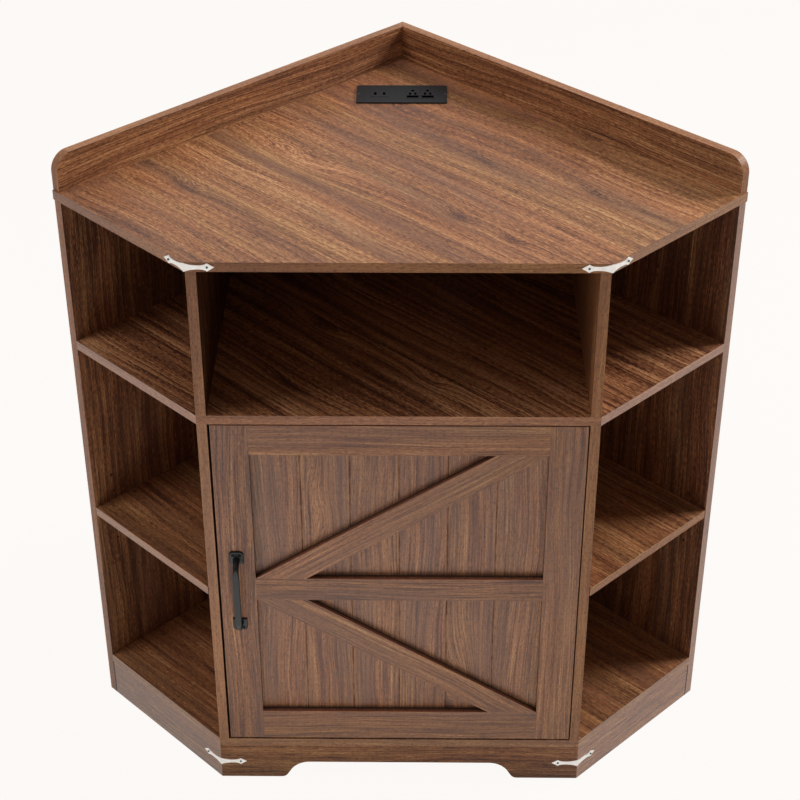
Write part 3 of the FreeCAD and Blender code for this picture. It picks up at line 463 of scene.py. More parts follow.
# Painted shade darkens the grooves between the planks, with a ragged side.
def addGrooveShade(finish, color, grain, planksFront):
    look = grooveShadeLook
    depth = finish.along(grain.place, (0, 1, 0)) - planksFront
    ragged = finish.flatNoise(grain.u * look["along"], grain.v * look["across"], look["detail"]) - 0.5
    grooveShade = finish.step(depth + ragged * look["ragged"], *look["depth"]) * look["share"]
    return finish.mix(grooveShade, color, walnut["groove"])


darkEdgeLook = {
    "margin": 0.002, "faceBoard": 0.010, "ticks": 420.0, "tickDepth": 1.5, "detail": 3.0, "ragged": 1.1,
    "deep": (0.25, 0.80), "standing": (0.80, 0.95),
}


# The edges that face the planks are dark red-brown; painted shade turns them nearly black in the angle by
# the planks and on the stiles' inner edges.
def rawEdge(finish, color, grain, frontY):
    look = darkEdgeLook
    low, high = doorBox
    inside = grain.isEdge
    for axis, first, last in (((1, 0, 0), low.x, high.x), ((0, 0, 1), low.z, high.z)):
        along = finish.along(grain.place, axis)
        inside = inside * along.above(first + look["margin"]) * along.below(last - look["margin"])
    depth = (finish.along(grain.place, (0, 1, 0)) - frontY) / look["faceBoard"]
    ticks = finish.flatNoise(grain.edgeU * look["ticks"], depth * look["tickDepth"], look["detail"])
    # painted shade: deepest next to the planks, with a ragged edge, and full on the stiles' inner edges
    deep = finish.step(depth + (ticks - 0.5) * look["ragged"], *look["deep"])
    standing = finish.step(finish.along(grain.facing, (1, 0, 0)).size(), *look["standing"])
    edgeColorAndShade = finish.mix(deep.most(standing), walnut["rawEdge"], walnut["angleShade"])
    return finish.mix(inside, color, edgeColorAndShade)


surface = {
    "roughness": 0.40, "roughStreak": 0.10, "roughPore": 0.12, "roughWear": 0.2,
    "relief": 0.5, "poreRelief": 0.9, "depth": 0.00012, "strength": 0.6,
    "coatRoughness": 0.35, "shadowGapCoat": 0.9, "shadowGapInset": (0.0026, 0.0020), "darkSide": (0.7, 0.9),
}


def walnutFinish(name, board):
    finish = Finish(name)
    grain = layGrain(finish, board)
    bent, shade = bend(finish, grain.u, grain.v, board["eyes"])
    marks = drawStreaks(finish, grain.u, bent, board["stretch"])
    tone, ringLine = walnutTone(finish, board, grain, bent, shade, marks)
    color = finish.ramp(tone, walnut["tones"])
    color = addPatches(finish, board, color, grain.u, bent)
    color, pores = addMarks(finish, board, color, marks, ringLine)
    color, worn = addWear(finish, color, grain)
    # painted shade in the grooves between the planks
    if "groove" in board:
        color = addGrooveShade(finish, color, grain, board["groove"])
    # painted shade: the face that looks the given way is darkened
    if "dark" in board:
        direction, share = board["dark"]
        inner = finish.step(finish.along(grain.facing, direction), *surface["darkSide"]) * share
        color = finish.mix(inner, color, walnut["groove"])
    # painted shadow in the gap at the board's far end; the gloss is taken off there so that it stays black
    if "shadowGap" in board:
        begins, full = (board["shadowGap"] - inset for inset in surface["shadowGapInset"])
        shadowGap = finish.step(finish.along(grain.place, board["along"]), begins, full)
        color = finish.mix(shadowGap, color, walnut["shadowGap"])
        finish.set(Coat_Roughness=surface["coatRoughness"], Coat_Weight=(1.0 - shadowGap) * surface["shadowGapCoat"])
    # the frame boards' edges that face the planks get their dark colour and painted shade
    if "frameFront" in board:
        color = rawEdge(finish, color, grain, board["frameFront"])
    if "coat" in board:
        onEdges, onSlants = board["coat"]
        slanted = finish.along(grain.facing, (1, 0, 0)).size()
        coat = grain.isEdge * (slanted * onSlants + onEdges)
        finish.set(Coat_Roughness=surface["coatRoughness"], Coat_Weight=coat)
    height = marks.fine * surface["relief"] + marks.fibre * surface["relief"]
    height = height - pores * surface["poreRelief"]
    rough = surface["roughness"] + (marks.streak - 0.5) * surface["roughStreak"]
    rough = rough + pores * surface["roughPore"] + worn * surface["roughWear"]
    finish.set(Specular_IOR_Level=board["sheen"])
    normal = finish.bump(height, surface["depth"], surface["strength"])
    return finish.set(Base_Color=color, Roughness=rough, Normal=normal)


plankCount = 6
braceWidth = 0.042
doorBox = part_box("door_panel")        # the door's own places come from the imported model
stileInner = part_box("door_stile_left")[1].x
plankPitch = (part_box("door_stile_right")[0].x - stileInner) / plankCount
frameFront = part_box("door_rail_top")[0].y


def braceRun(name, rising):
    # the direction of a brace, from the corners of its box and its width
    low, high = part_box(name)
    width, height = high.x - low.x, high.z - low.z
    square = width ** 2 + height ** 2 - braceWidth ** 2
    cut = braceWidth * (height * math.sqrt(square) - braceWidth * width) / (height ** 2 - braceWidth ** 2)
    return tuple(Vector((width - cut, 0, height * rising)).normalized())


def farEnd(name, direction):
    # how far a board reaches along a direction
    return max(corner.co.dot(Vector(direction)) for corner in nodes[name].data.vertices)


onRight = (slant, -slant, 0)          # along the right wall, and the way that the left wall faces
onLeft = (slant, slant, 0)            # along the left wall
backLeft = (-slant, slant, 0)
frontLeft = (-slant, -slant, 0)       # the way that the right wall faces
upright = (0, 0, 1)
level = (1, 0, 0)
front = (0, -1, 0)

softGrain = {
    "strength": 1.6, "stretch": 1.8, "streaks": 0.45, "lines": 0.12, "grit": 1.0, "hues": 0.9,
    "golden": 0.15}
splashGrain = {"sheen": 0.28, "strength": 1.35, "lines": 0.30, "grit": 0.95, "stretch": 2.4}
plinthGrain = {"sheen": 0.1, "strength": 0.6}
doorGrain = {"strength": 0.55, "stretch": 2.4, "grit": 0.42, "cool": 0.58, "sheen": 0.56, "toneAndPaintedLight": -0.05}
doorFace = {"face": front, "frameFront": frameFront, **doorGrain}

# "along" is the way of the grain, "face" the way that a broad face looks, and "shift" keeps boards
# from repeating each other. "coat" is a gloss on the edges, and a further one on slanting edges.
# "dark" paints shade on the face that looks one way, and the far-end line is a painted shadow in the gap
# at a board's far end.
# An eye of the figure has its place along and across the grain, its length and width, how far it
# bends the streaks, and how dark its middle is.
# A board's tone shift paints its light and shade: darker where the board stands in shade, paler where it
# is well lit.
boards = {
    "top_panel": {
        "along": onRight, "face": upright, "shift": (0.0, 0.0), "sheen": 0.28, "coat": (0.0, 0.5),
        "grit": 1.30, "ticks": 0.42, "strength": 1.3, "stretch": 1.6, "streaks": 0.42, "lines": 0.12,
        "hues": 0.9, "golden": -0.08, "cool": 0.58, "toneAndPaintedLight": 0.03,
        "eyes": [
            (-0.131, -0.307, 0.035, 0.014, 0.015, 0.35),
            (-0.239, -0.303, 0.030, 0.010, 0.010, 0.22),
            (-0.090, -0.135, 0.110, 0.030, 0.024, -0.06),
            (0.212, -0.095, 0.040, 0.016, 0.013, 0.42),
            (0.312, -0.090, 0.035, 0.012, 0.010, 0.36),
            (0.310, 0.098, 0.060, 0.012, 0.012, 0.25),
            (0.172, 0.244, 0.045, 0.012, 0.012, 0.30),
            (-0.100, 0.104, 0.055, 0.012, 0.011, 0.28),
        ]},
    "middle_board": {
        "along": onRight, "face": upright, "shift": (0.37, 0.21), "coat": (0.0, 1.0),
        "strength": 2.6, "stretch": 1.8, "streaks": 0.6, "grit": 1.7, "lines": 0.30, "toneAndPaintedLight": 0.03,
        "hues": 0.7, "golden": -0.50, "cool": 0.1,
        "eyes": [
            (0.352, 0.051, 0.060, 0.020, 0.018, 0.35),
            (0.444, -0.092, 0.060, 0.012, 0.010, 0.45),
            (0.580, 0.065, 0.035, 0.014, 0.014, 0.40),
            (0.42, 0.40, 0.05, 0.015, 0.018, 0.3),
        ]},
    "bottom_board": {
        "along": onRight, "face": upright, "shift": (1.31, 0.63), "coat": (0.0, 0.5), **softGrain},
    "side_shelf_left": {
        "along": onRight, "face": upright, "shift": (2.23, 1.17), "coat": (0.0, 0.8), **softGrain,
        "toneAndPaintedLight": -0.06},
    "side_shelf_right": {
        "along": onRight, "face": upright, "shift": (0.81, 2.41), "sheen": 0.3, **softGrain},
    "inner_shelf": {"along": onRight, "face": upright, "shift": (3.31, 0.35)},
    "backsplash_left": {"along": onLeft, "face": onRight, "shift": (1.90, 3.10), **splashGrain},
    "backsplash_right": {"along": onRight, "face": frontLeft, "shift": (2.70, 2.20), **splashGrain},
    "wall_panel_left": {
        "along": upright, "face": onRight, "shift": (4.10, 1.40), **softGrain, "toneAndPaintedLight": -0.20},
    "wall_panel_right": {
        "along": upright, "face": frontLeft, "shift": (5.30, 0.70), "coat": (0.0, 1.0), **softGrain,
        "toneAndPaintedLight": -0.21},
    "divider_upper_left": {
        "along": upright, "face": level, "shift": (6.10, 2.90), "sheen": 0.0, "coat": (0.7, 0.0),
        "toneAndPaintedLight": -0.20, "dark": (level, 0.6)},
    "divider_upper_right": {"along": upright, "face": level, "shift": (6.70, 3.70), "sheen": 0.3},
    "divider_lower_left": {
        "along": upright, "face": level, "shift": (7.30, 1.90), "dark": (level, 0.7)},
    "divider_lower_right": {"along": upright, "face": level, "shift": (7.90, 4.10), "sheen": 0.4},
    "plinth_front": {"along": level, "face": front, "shift": (8.30, 0.80), "sheen": 0.25},
    "plinth_left": {
        "along": backLeft, "face": frontLeft, "shift": (8.90, 1.60), **plinthGrain,
        "shadowGap": farEnd("plinth_left", backLeft)},
    "plinth_right": {
        "along": onLeft, "face": onRight, "shift": (9.50, 2.50), **plinthGrain,
        "shadowGap": farEnd("plinth_right", onLeft)},
    "center_support": {"along": (0, 1, 0), "face": level, "shift": (9.90, 3.30)},
    "door_stile_left": {"along": upright, "shift": (1.20, 5.10), **doorFace, "toneAndPaintedLight": -0.13},
    "door_stile_right": {"along": upright, "shift": (2.10, 5.70), **doorFace, "toneAndPaintedLight": 0.0},
    "door_rail_top": {
        "along": level, "shift": (3.40, 6.10), **doorFace, "toneAndPaintedLight": 0.03, "sheen": 0.46},
    "door_rail_middle": {"along": level, "shift": (4.60, 6.70), **doorFace, "toneAndPaintedLight": -0.17},
    "door_rail_bottom": {"along": level, "shift": (5.20, 7.30), **doorFace, "toneAndPaintedLight": -0.09},
    "door_brace_upper": {"along": braceRun("door_brace_upper", 1), "shift": (6.40, 7.90), **doorFace},
    "door_brace_lower": {"along": braceRun("door_brace_lower", -1), "shift": (7.60, 8.30), **doorFace},
    "door_panel": {
        "along": upright, "face": front, "shift": (0.30, 4.30), **doorGrain, "toneAndPaintedLight": -0.085,
        "sheen": 0.66, "groove": doorBox[0].y, "planks": (stileInner, plankPitch),
        "eyes": [
            (1.345, 4.580, 0.040, 0.013, 0.009, 0.08),
            (1.238, 4.568, 0.045, 0.015, 0.012, 0.0),
            (2.100, 4.826, 0.110, 0.024, 0.026, 0.0),
            (2.210, 4.955, 0.050, 0.014, 0.016, 0.08),
        ]},
}

easing = {"weld": 0.000002, "segments": 2, "sharpAbove": 30, "boards": 0.0005}


# Eases a node's sharp edges without touching its mesh.
def easeEdges(piece, width):
    weld = piece.modifiers.new("weld", "WELD")
    weld.merge_threshold = easing["weld"]
    ease = piece.modifiers.new("ease", "BEVEL")
    ease.width = width
    ease.segments = easing["segments"]
    ease.limit_method = "ANGLE"
    ease.angle_limit = math.radians(easing["sharpAbove"])
    ease.harden_normals = False
    even = piece.modifiers.new("even", "WEIGHTED_NORMAL")
    even.keep_sharp = False


def dress(piece, material):
    piece.data.materials.clear()
    piece.data.materials.append(material)


for name, board in boards.items():
    dress(nodes[name], walnutFinish("walnut_" + name, {**plainBoard, **board}))
    easeEdges(nodes[name], easing["boards"])
print("walnut boards finished:", len(boards))

# Beech, metal and plastic

beech = {
    "pale": rgb(214, 184, 144), "deep": rgb(186, 148, 104), "fleck": rgb(150, 108, 70),
    "lines": (700, 700, 35), "lineDetail": 3.0,
    "flecks": 900.0, "fleckSide": (0.0, 0.35), "fleckShare": 0.5,
    "rough": 0.55, "roughLines": 0.2, "depth": 0.0001, "strength": 0.5,
}


def beechFinish():
    finish = Finish("beech")
    place = finish.place()
    stretched = finish.node("VectorMath", {"operation": "MULTIPLY"}, {0: place, 1: beech["lines"]})
    lines = finish.noise(stretched, 1.0, beech["lineDetail"])
    cells = finish.node("TexVoronoi", None, {"Vector": place, "Scale": beech["flecks"]})
    flecks = 1.0 - finish.step(cells, *beech["fleckSide"])
    color = finish.mix(lines, beech["pale"], beech["deep"])
    color = finish.mix(flecks * beech["fleckShare"], color, beech["fleck"])
    rough = beech["rough"] + lines * beech["roughLines"]
    normal = finish.bump(lines, beech["depth"], beech["strength"])
    return finish.set(Base_Color=color, Roughness=rough, Normal=normal)


metals = {
    "steel": {
        "low": rgb(176, 176, 180), "high": rgb(208, 208, 210), "rough": 0.30, "grains": 900.0,
        "metal": 1.0},
    "nickel": {
        "low": rgb(226, 222, 216), "high": rgb(244, 241, 236), "rough": 0.34, "grains": 700.0,
        "metal": 0.85},
    "nailSteel": {
        "low": rgb(38, 46, 62), "high": rgb(66, 76, 94), "rough": 0.35, "grains": 900.0,
        "metal": 0.6},
    "brass": {
        "low": rgb(206, 172, 98), "high": rgb(226, 196, 128), "rough": 0.30, "grains": 800.0,
        "metal": 1.0},
    "magnet": {
        "low": rgb(46, 46, 50), "high": rgb(70, 70, 74), "rough": 0.55, "grains": 1500.0,
        "metal": 0.4},
}
metalLook = {
    "clouds": 120.0, "cloudDetail": 3.0, "grainDetail": 2.0,
    "cloudShare": 0.6, "grainShare": 0.4, "side": (0.3, 0.7),
    "roughClouds": 0.25, "roughGrains": 0.12, "depth": 0.00004, "strength": 0.5,
}


def metalFinish(name, metal):
    finish = Finish(name)
    look = metalLook
    place = finish.place()
    clouds = finish.noise(place, look["clouds"], look["cloudDetail"])
    grains = finish.noise(place, metal["grains"], look["grainDetail"])
    bright = finish.step(clouds * look["cloudShare"] + grains * look["grainShare"], *look["side"])
    color = finish.mix(bright, metal["low"], metal["high"])
    rough = metal["rough"] + (clouds - 0.5) * look["roughClouds"] + (grains - 0.5) * look["roughGrains"]
    normal = finish.bump(grains, look["depth"], look["strength"])
    return finish.set(Base_Color=color, Metallic=metal["metal"], Roughness=rough, Normal=normal)


# "flat" is the way that faces with a glossier coat look.
coats = {
    "blackCoat": {
        "base": rgb(20, 21, 22), "worn": rgb(54, 56, 57), "rough": 0.42, "peel": 520.0, "depth": 0.00010,
        "sheen": 0.1, "flat": front},
    "blackPlastic": {
        "base": rgb(26, 27, 29), "worn": rgb(56, 57, 59), "rough": 0.50, "peel": 1500.0, "depth": 0.00005,
        "sheen": 0.15},
    # painted shade: the near-black walls inside the inserts' openings
    "openingShade": {
        "base": rgb(5, 5, 6), "worn": rgb(14, 14, 15), "rough": 0.60, "peel": 900.0, "depth": 0.00003,
        "sheen": 0.05},
    "screwBlack": {
        "base": rgb(12, 12, 14), "worn": rgb(40, 40, 42), "rough": 0.40, "peel": 900.0, "depth": 0.00004,
        "sheen": 0.06},
    "greyPlastic": {
        "base": rgb(170, 168, 164), "worn": rgb(196, 194, 190), "rough": 0.5, "peel": 900.0,
        "depth": 0.00005, "sheen": 0.5},
    "nylon": {
        "base": rgb(232, 229, 220), "worn": rgb(244, 242, 236), "rough": 0.45, "peel": 700.0,
        "depth": 0.00003, "sheen": 0.5},
}
coatLook = {
    "clouds": 60.0, "cloudDetail": 4.0, "peelDetail": 2.0,
    "peelSide": (0.58, 0.75), "cloudSide": (0.45, 0.65),
    "highShare": 0.30, "cloudShare": 0.25, "roughClouds": 0.18, "roughPeel": 0.10,
    "flatSide": (0.80, 0.97), "flatRoughness": 0.40, "strength": 0.7,
}


# Powder coat and moulded plastic: a fine peel, faint clouding and paler high spots.
def coatFinish(name, coat):
    finish = Finish(name)
    look = coatLook
    place = finish.place()
    peel = finish.noise(place, coat["peel"], look["peelDetail"])
    clouds = finish.noise(place, look["clouds"], look["cloudDetail"])
    high = finish.step(peel, *look["peelSide"]) * finish.step(clouds, *look["cloudSide"])
    pale = high * look["highShare"] + (clouds - 0.5).most(0.0) * look["cloudShare"]
    color = finish.mix(pale, coat["base"], coat["worn"])
    rough = coat["rough"] + (clouds - 0.5) * look["roughClouds"] + (peel - 0.5) * look["roughPeel"]
    finish.set(Specular_IOR_Level=coat["sheen"])
    if "flat" in coat:
        flat = finish.step(finish.along(finish.facing(), coat["flat"]), *look["flatSide"])
        finish.set(Coat_Roughness=look["flatRoughness"], Coat_Weight=flat)
    normal = finish.bump(peel, coat["depth"], look["strength"])
    return finish.set(Base_Color=color, Roughness=rough, Normal=normal)


circuit = {
    "mask": rgb(24, 92, 52), "track": rgb(44, 128, 74), "pad": rgb(206, 190, 130), "cells": 330.0,
    "trackFrom": (0.34, 0.37), "trackTo": (0.44, 0.47), "padTo": (0.08, 0.12), "rough": 0.3,
    "roughTrack": 0.1, "depth": 0.00005, "strength": 1.0,
}


def circuitFinish():
    finish = Finish("circuitBoard")
    inputs = {"Vector": finish.place(), "Scale": circuit["cells"]}
    cells = finish.node("TexVoronoi", {"distance": "CHEBYCHEV", "feature": "F1"}, inputs)
    track = finish.step(cells, *circuit["trackFrom"]) * (1.0 - finish.step(cells, *circuit["trackTo"]))
    pad = 1.0 - finish.step(cells, *circuit["padTo"])
    color = finish.mix(track, circuit["mask"], circuit["track"])
    color = finish.mix(pad, color, circuit["pad"])
    rough = circuit["rough"] + track * circuit["roughTrack"]
    normal = finish.bump(track + pad, circuit["depth"], circuit["strength"])
    return finish.set(Base_Color=color, Roughness=rough, Normal=normal)


finishes = {"beech": beechFinish(), "circuitBoard": circuitFinish()}
finishes.update({name: metalFinish(name, metal) for name, metal in metals.items()})
finishes.update({name: coatFinish(name, coat) for name, coat in coats.items()})

slotFinish = {
    "beech": "beech", "steel": "steel", "nickel": "nickel", "black_metal": "blackCoat",
    "black_plastic": "blackPlastic", "grey_plastic": "greyPlastic", "nylon": "nylon",
    "magnet": "magnet", "brass": "brass", "circuit_board": "circuitBoard",
}
easedNodes = {                        # how far each node's sharp edges are eased
    "power_bezel": 0.0004, "catch_housing": 0.0005, "strike_plate": 0.0001, "cable_grommet": 0.0004,
    "cable_gland": 0.0003, "power_housing": 0.0003, "pivot_plate_upper": 0.0002,
    "pivot_plate_lower": 0.0002, "catch_magnet": 0.0002, "plinth_blocks": 0.0004, "dowels": 0.0004,
    "shelf_pins": 0.0003, "cam_bolts": 0.0003, "door_bushes": 0.0001, "pivot_washer": 0.0001,
    "power_contacts": 0.0001, "usb_board": 0.0001,
}
for row in frame["record"]["subparts"]:
    name, slot = row["node"], row["material_slot"]
    if name not in boards:
        dress(nodes[name], finishes[slotFinish[slot]])
for name, width in easedNodes.items():
    easeEdges(nodes[name], width)
print("metal and plastic finished")

# Small hardware


def keep(name, mesh, body, finish, node):
    piece = addObject(name, mesh)
    mesh.materials.append(finishes[finish])
    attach(piece, body)
    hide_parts(node)
    return piece


def finishMesh(name, made, smoothAngle=40):
    bmesh.ops.recalc_face_normals(made, faces=made.faces)
    limit = math.radians(smoothAngle)
    for face in made.faces:
        face.smooth = True
    for edge in made.edges:
        edge.smooth = edge.calc_face_angle(math.pi) < limit
    mesh = bpy.data.meshes.new(name)
    made.to_mesh(mesh)
    made.free()
    return mesh


# The box of each separate solid of a node.
def solidBoxes(name):
    made = bmesh.new()
    made.from_mesh(nodes[name].data)
    bmesh.ops.remove_doubles(made, verts=made.verts, dist=easing["weld"])
    boxes = []
    seen = set()
    for start in made.verts:
        if start in seen:
            continue
        seen.add(start)
        queue = [start]
        low, high = start.co.copy(), start.co.copy()
        while queue:
            spot = queue.pop()
            low = Vector(map(min, low, spot.co))
            high = Vector(map(max, high, spot.co))
            for edge in spot.link_edges:
                other = edge.other_vert(spot)
                if other not in seen:
                    seen.add(other)
                    queue.append(other)
        boxes.append((low, high))
    made.free()
    return boxes


def turnedTo(place, direction):
    # a local frame whose z axis points back out of the material
    outward = -Vector(direction).normalized()
    return Matrix.Translation(place) @ outward.to_track_quat("Z", "Y").to_matrix().to_4x4()


def ring(made, matrix, radius, height, sides):
    spots = []
    for index in range(sides):
        angle = 2 * math.pi * index / sides
        spot = matrix @ Vector((radius * math.cos(angle), radius * math.sin(angle), height))
        spots.append(made.verts.new(spot))
    return spots


def joinRings(made, first, second):
    sides = []
    for index in range(len(first)):
        after = (index + 1) % len(first)
        sides.append(made.faces.new((first[index], first[after], second[after], second[index])))
    return sides


# Joins each ring to the next. The ends are closed unless they stay open.
def skin(made, rings, closeFirst=True, closeLast=True):
    for first, second in zip(rings, rings[1:]):
        joinRings(made, first, second)
    if closeFirst:
        made.faces.new(rings[0])
    if closeLast:
        made.faces.new(rings[-1])


# Fills the flat face between an outline and the openings in it.
def fillBetween(made, outlines):
    edges = []
    for verts in outlines:
        for index, vert in enumerate(verts):
            after = verts[(index + 1) % len(verts)]
            edges.append(made.edges.get((vert, after)) or made.edges.new((vert, after)))
    bmesh.ops.triangle_fill(made, edges=edges, use_beauty=True)


def quarterTurns(middleX, middleY, radius, quarter, turns):
    # points round a quarter of a circle, the quarters counted from the right
    spots = []
    for turn in range(turns + 1):
        angle = math.pi / 2 * (quarter + turn / turns)
        spots.append((middleX + radius * math.cos(angle), middleY + radius * math.sin(angle)))
    return spots


# The cross is in shares of the head's radius, and the grooves between ridges in shares of the pitch.
screwShape = {
    "sides": 24, "lipShare": 0.12, "pitch": 0.0012, "groove": 0.74, "grooveAt": 0.35, "ridgeAt": 0.7,
    "tip": 0.1, "crossArm": 0.52, "crossHalf": 0.13, "crossDepth": 0.62, "crossTaper": 0.55,
}


# A screw with a cross recess in its flat head and ridges down its shank.
def addScrew(made, place, direction, length, kind):
    shape = screwShape
    matrix = turnedTo(place, direction)
    head, shank, sink, pitch = kind["head"], kind["shank"], kind["sink"], shape["pitch"]
    stations = [(head, 0.0), (head, -sink * shape["lipShare"]), (shank, -sink)]
    ridges = max(2, int((length - sink) / pitch) - 1)
    for index in range(ridges):
        stations.append((shank * shape["groove"], -sink - pitch * (index + shape["grooveAt"])))
        stations.append((shank, -sink - pitch * (index + shape["ridgeAt"])))
    stations.append((shank * shape["tip"], -length))
    rings = [ring(made, matrix, radius, height, shape["sides"]) for radius, height in stations]
    skin(made, rings, closeFirst=False)
    addCross(made, matrix, rings[0], head)


def addCross(made, matrix, rim, headRadius):
    shape = screwShape
    arm, half = headRadius * shape["crossArm"], headRadius * shape["crossHalf"]
    depth, taper = headRadius * shape["crossDepth"], shape["crossTaper"]
    outline = [(arm, half), (half, half), (half, arm), (-half, arm), (-half, half), (-arm, half),
               (-arm, -half), (-half, -half), (-half, -arm), (half, -arm), (half, -half), (arm, -half)]
    upper = [made.verts.new(matrix @ Vector((x, y, 0.0))) for x, y in outline]
    lower = [made.verts.new(matrix @ Vector((x * taper, y * taper, -depth))) for x, y in outline]
    skin(made, [lower, upper], closeLast=False)
    fillBetween(made, (rim, upper))


# "ways" are the ways that the screws go in. Where there are two, the upper ones take the first.
largeScrew = {
    "head": 0.0035, "shank": 0.00175, "sink": 0.0022, "proud": 0.0, "finish": "steel", "slot": "steel"}
smallScrew = {**largeScrew, "head": 0.0023, "shank": 0.00125, "sink": 0.0014}
screws = {
    "door_screws": {**largeScrew, "body": "door", "ways": [(0, -1, 0)]},
    "handle_screws": {
        **smallScrew, "body": "door", "ways": [(0, 1, 0)], "proud": 0.0003, "finish": "screwBlack",
        "slot": "black_metal"},
    "pivot_screws": {**largeScrew, "body": "carcass", "ways": [(0, 0, 1), (0, 0, -1)]},
    "catch_screws": {**smallScrew, "body": "carcass", "ways": [(0, 0, 1)]},
    "power_screws": {**smallScrew, "body": "carcass", "ways": [(0, 0, -1)], "finish": "nailSteel"},
    "backsplash_screws": {**largeScrew, "body": "carcass", "ways": [(0, 0, 1)]},
}


def makeScrews(name, kind):
    made = bmesh.new()
    boxes = solidBoxes(name)
    middle = sum(low.z + high.z for low, high in boxes) / (2 * len(boxes))
    for low, high in boxes:
        isUpper = (low.z + high.z) / 2 > middle
        direction = Vector(kind["ways"][0] if isUpper else kind["ways"][-1])
        place = (low + high) / 2
        for axis in range(3):
            if direction[axis]:
                place[axis] = low[axis] if direction[axis] > 0 else high[axis]
                length = high[axis] - low[axis]
        addScrew(made, place - direction * kind["proud"], direction, length, kind)
    mesh = finishMesh(name, made)
    keep(name + "_detailed", mesh, kind["body"], kind["finish"], name)


for name, kind in screws.items():
    makeScrews(name, kind)
print("screws made")

handleShape = {
    "footWidth": 0.0222, "footLength": 0.0225, "footThick": 0.003, "footEase": 0.0008,
    "outerRound": 0.0060, "innerRound": 0.0012, "turns": 6, "sides": 24,
    # stations from an end to the middle: share of the half length, share of the reach, width,
    # thickness, and how square the section is
    "stations": [
        (0.800, 0.06, 0.0120, 0.0125, 2.0), (0.800, 0.20, 0.0108, 0.0110, 2.0),
        (0.798, 0.38, 0.0100, 0.0100, 2.0), (0.782, 0.56, 0.0096, 0.0094, 2.1),
        (0.750, 0.71, 0.0093, 0.0086, 2.2), (0.705, 0.820, 0.0092, 0.0074, 2.6),
        (0.650, 0.880, 0.0095, 0.0060, 3.4), (0.590, 0.902, 0.0100, 0.0051, 5.0),
        (0.300, 0.904, 0.0100, 0.0050, 6.0), (0.000, 0.904, 0.0100, 0.0050, 6.0),
    ],
}


def squareRound(angle, width, thick, power):
    # a point of a rounded square section, as offsets across and through the bar
    cos, sin = math.cos(angle), math.sin(angle)
    across = math.copysign(abs(cos) ** (2 / power), cos) * width / 2
    through = math.copysign(abs(sin) ** (2 / power), sin) * thick / 2
    return across, through


# A foot's outline runs across it and down from its outer end, which is rounder than its inner one.
def handleFoot(made, middleX, back, endZ, end):
    shape = handleShape
    half, length = shape["footWidth"] / 2, shape["footLength"]
    thick, ease = shape["footThick"], shape["footEase"]
    outer, inner = shape["outerRound"], shape["innerRound"]
    outline = []
    corners = [(1, -outer, outer), (-1, -outer, outer),
               (-1, inner - length, inner), (1, inner - length, inner)]
    for quarter, (side, height, radius) in enumerate(corners):
        outline += quarterTurns(side * (half - radius), height, radius, quarter, shape["turns"])
    rings = []
    for inset, out in ((0.0, 0.0), (0.0, thick - ease), (ease, thick)):
        narrow = (half - inset) / half
        rings.append([])
        for x, height in outline:
            z = endZ + end * ((height + length / 2) * narrow - length / 2)
            rings[-1].append(made.verts.new((middleX + x * narrow, back - out, z)))
    skin(made, rings)


# The pull: two feet rounded at their outer ends, and a bar that is round at its necks and flat between.
def makeHandle():
    made = bmesh.new()
    shape = handleShape
    low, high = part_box("door_handle")
    middleX, middleZ = (low.x + high.x) / 2, (low.z + high.z) / 2
    half, reach, back = (high.z - low.z) / 2, high.y - low.y, high.y
    for end in (-1, 1):
        handleFoot(made, middleX, back, middleZ + end * half, end)
    stations = [(1, *row) for row in shape["stations"]]
    stations += [(-1, *row) for row in reversed(shape["stations"][:-1])]
    path = [Vector((middleX, back - out * reach, middleZ + end * along * half))
            for end, along, out, *_ in stations]
    rings = []
    for index, (*_, width, thick, power) in enumerate(stations):
        ahead = path[min(index + 1, len(path) - 1)] - path[max(index - 1, 0)]
        outward = Vector((1, 0, 0)).cross(ahead).normalized()
        section = []
        for corner in range(shape["sides"]):
            across, through = squareRound(2 * math.pi * corner / shape["sides"], width, thick, power)
            section.append(made.verts.new(path[index] + Vector((across, 0, 0)) + outward * through))
        rings.append(section)
    skin(made, rings)
    mesh = finishMesh("handle", made)
    keep("door_handle_forged", mesh, "door", "blackCoat", "door_handle")


makeHandle()
print("handle made")

# Openings of an insert: the middle, width and length of each, and the radius of its corners.
outletOpenings = [
    (0.0, 0.0115, 0.0050, 0.0070, 0.0024), (-0.0043, 0.0, 0.0036, 0.0088, 0.0012),
    (0.0043, 0.0, 0.0036, 0.0088, 0.0012), (0.0, -0.0112, 0.0192, 0.0084, 0.0008),
]
portOpenings = [(-0.0072, 0.0, 0.0042, 0.0098, 0.0008), (0.0072, 0.0, 0.0042, 0.0098, 0.0008)]
inserts = {"outlet_left": outletOpenings, "outlet_right": outletOpenings, "usb_ports": portOpenings}
insertShape = {"fill": 0.0002, "proud": 0.0003, "deep": 0.008, "turns": 4, "round": 0.0005}


def roundedBox(middleX, middleY, width, length, radius):
    outline = []
    for quarter, (sideX, sideY) in enumerate(((1, 1), (-1, 1), (-1, -1), (1, -1))):
        cornerX = middleX + sideX * (width / 2 - radius)
        cornerY = middleY + sideY * (length / 2 - radius)
        outline += quarterTurns(cornerX, cornerY, radius, quarter, insertShape["turns"])
    return outline


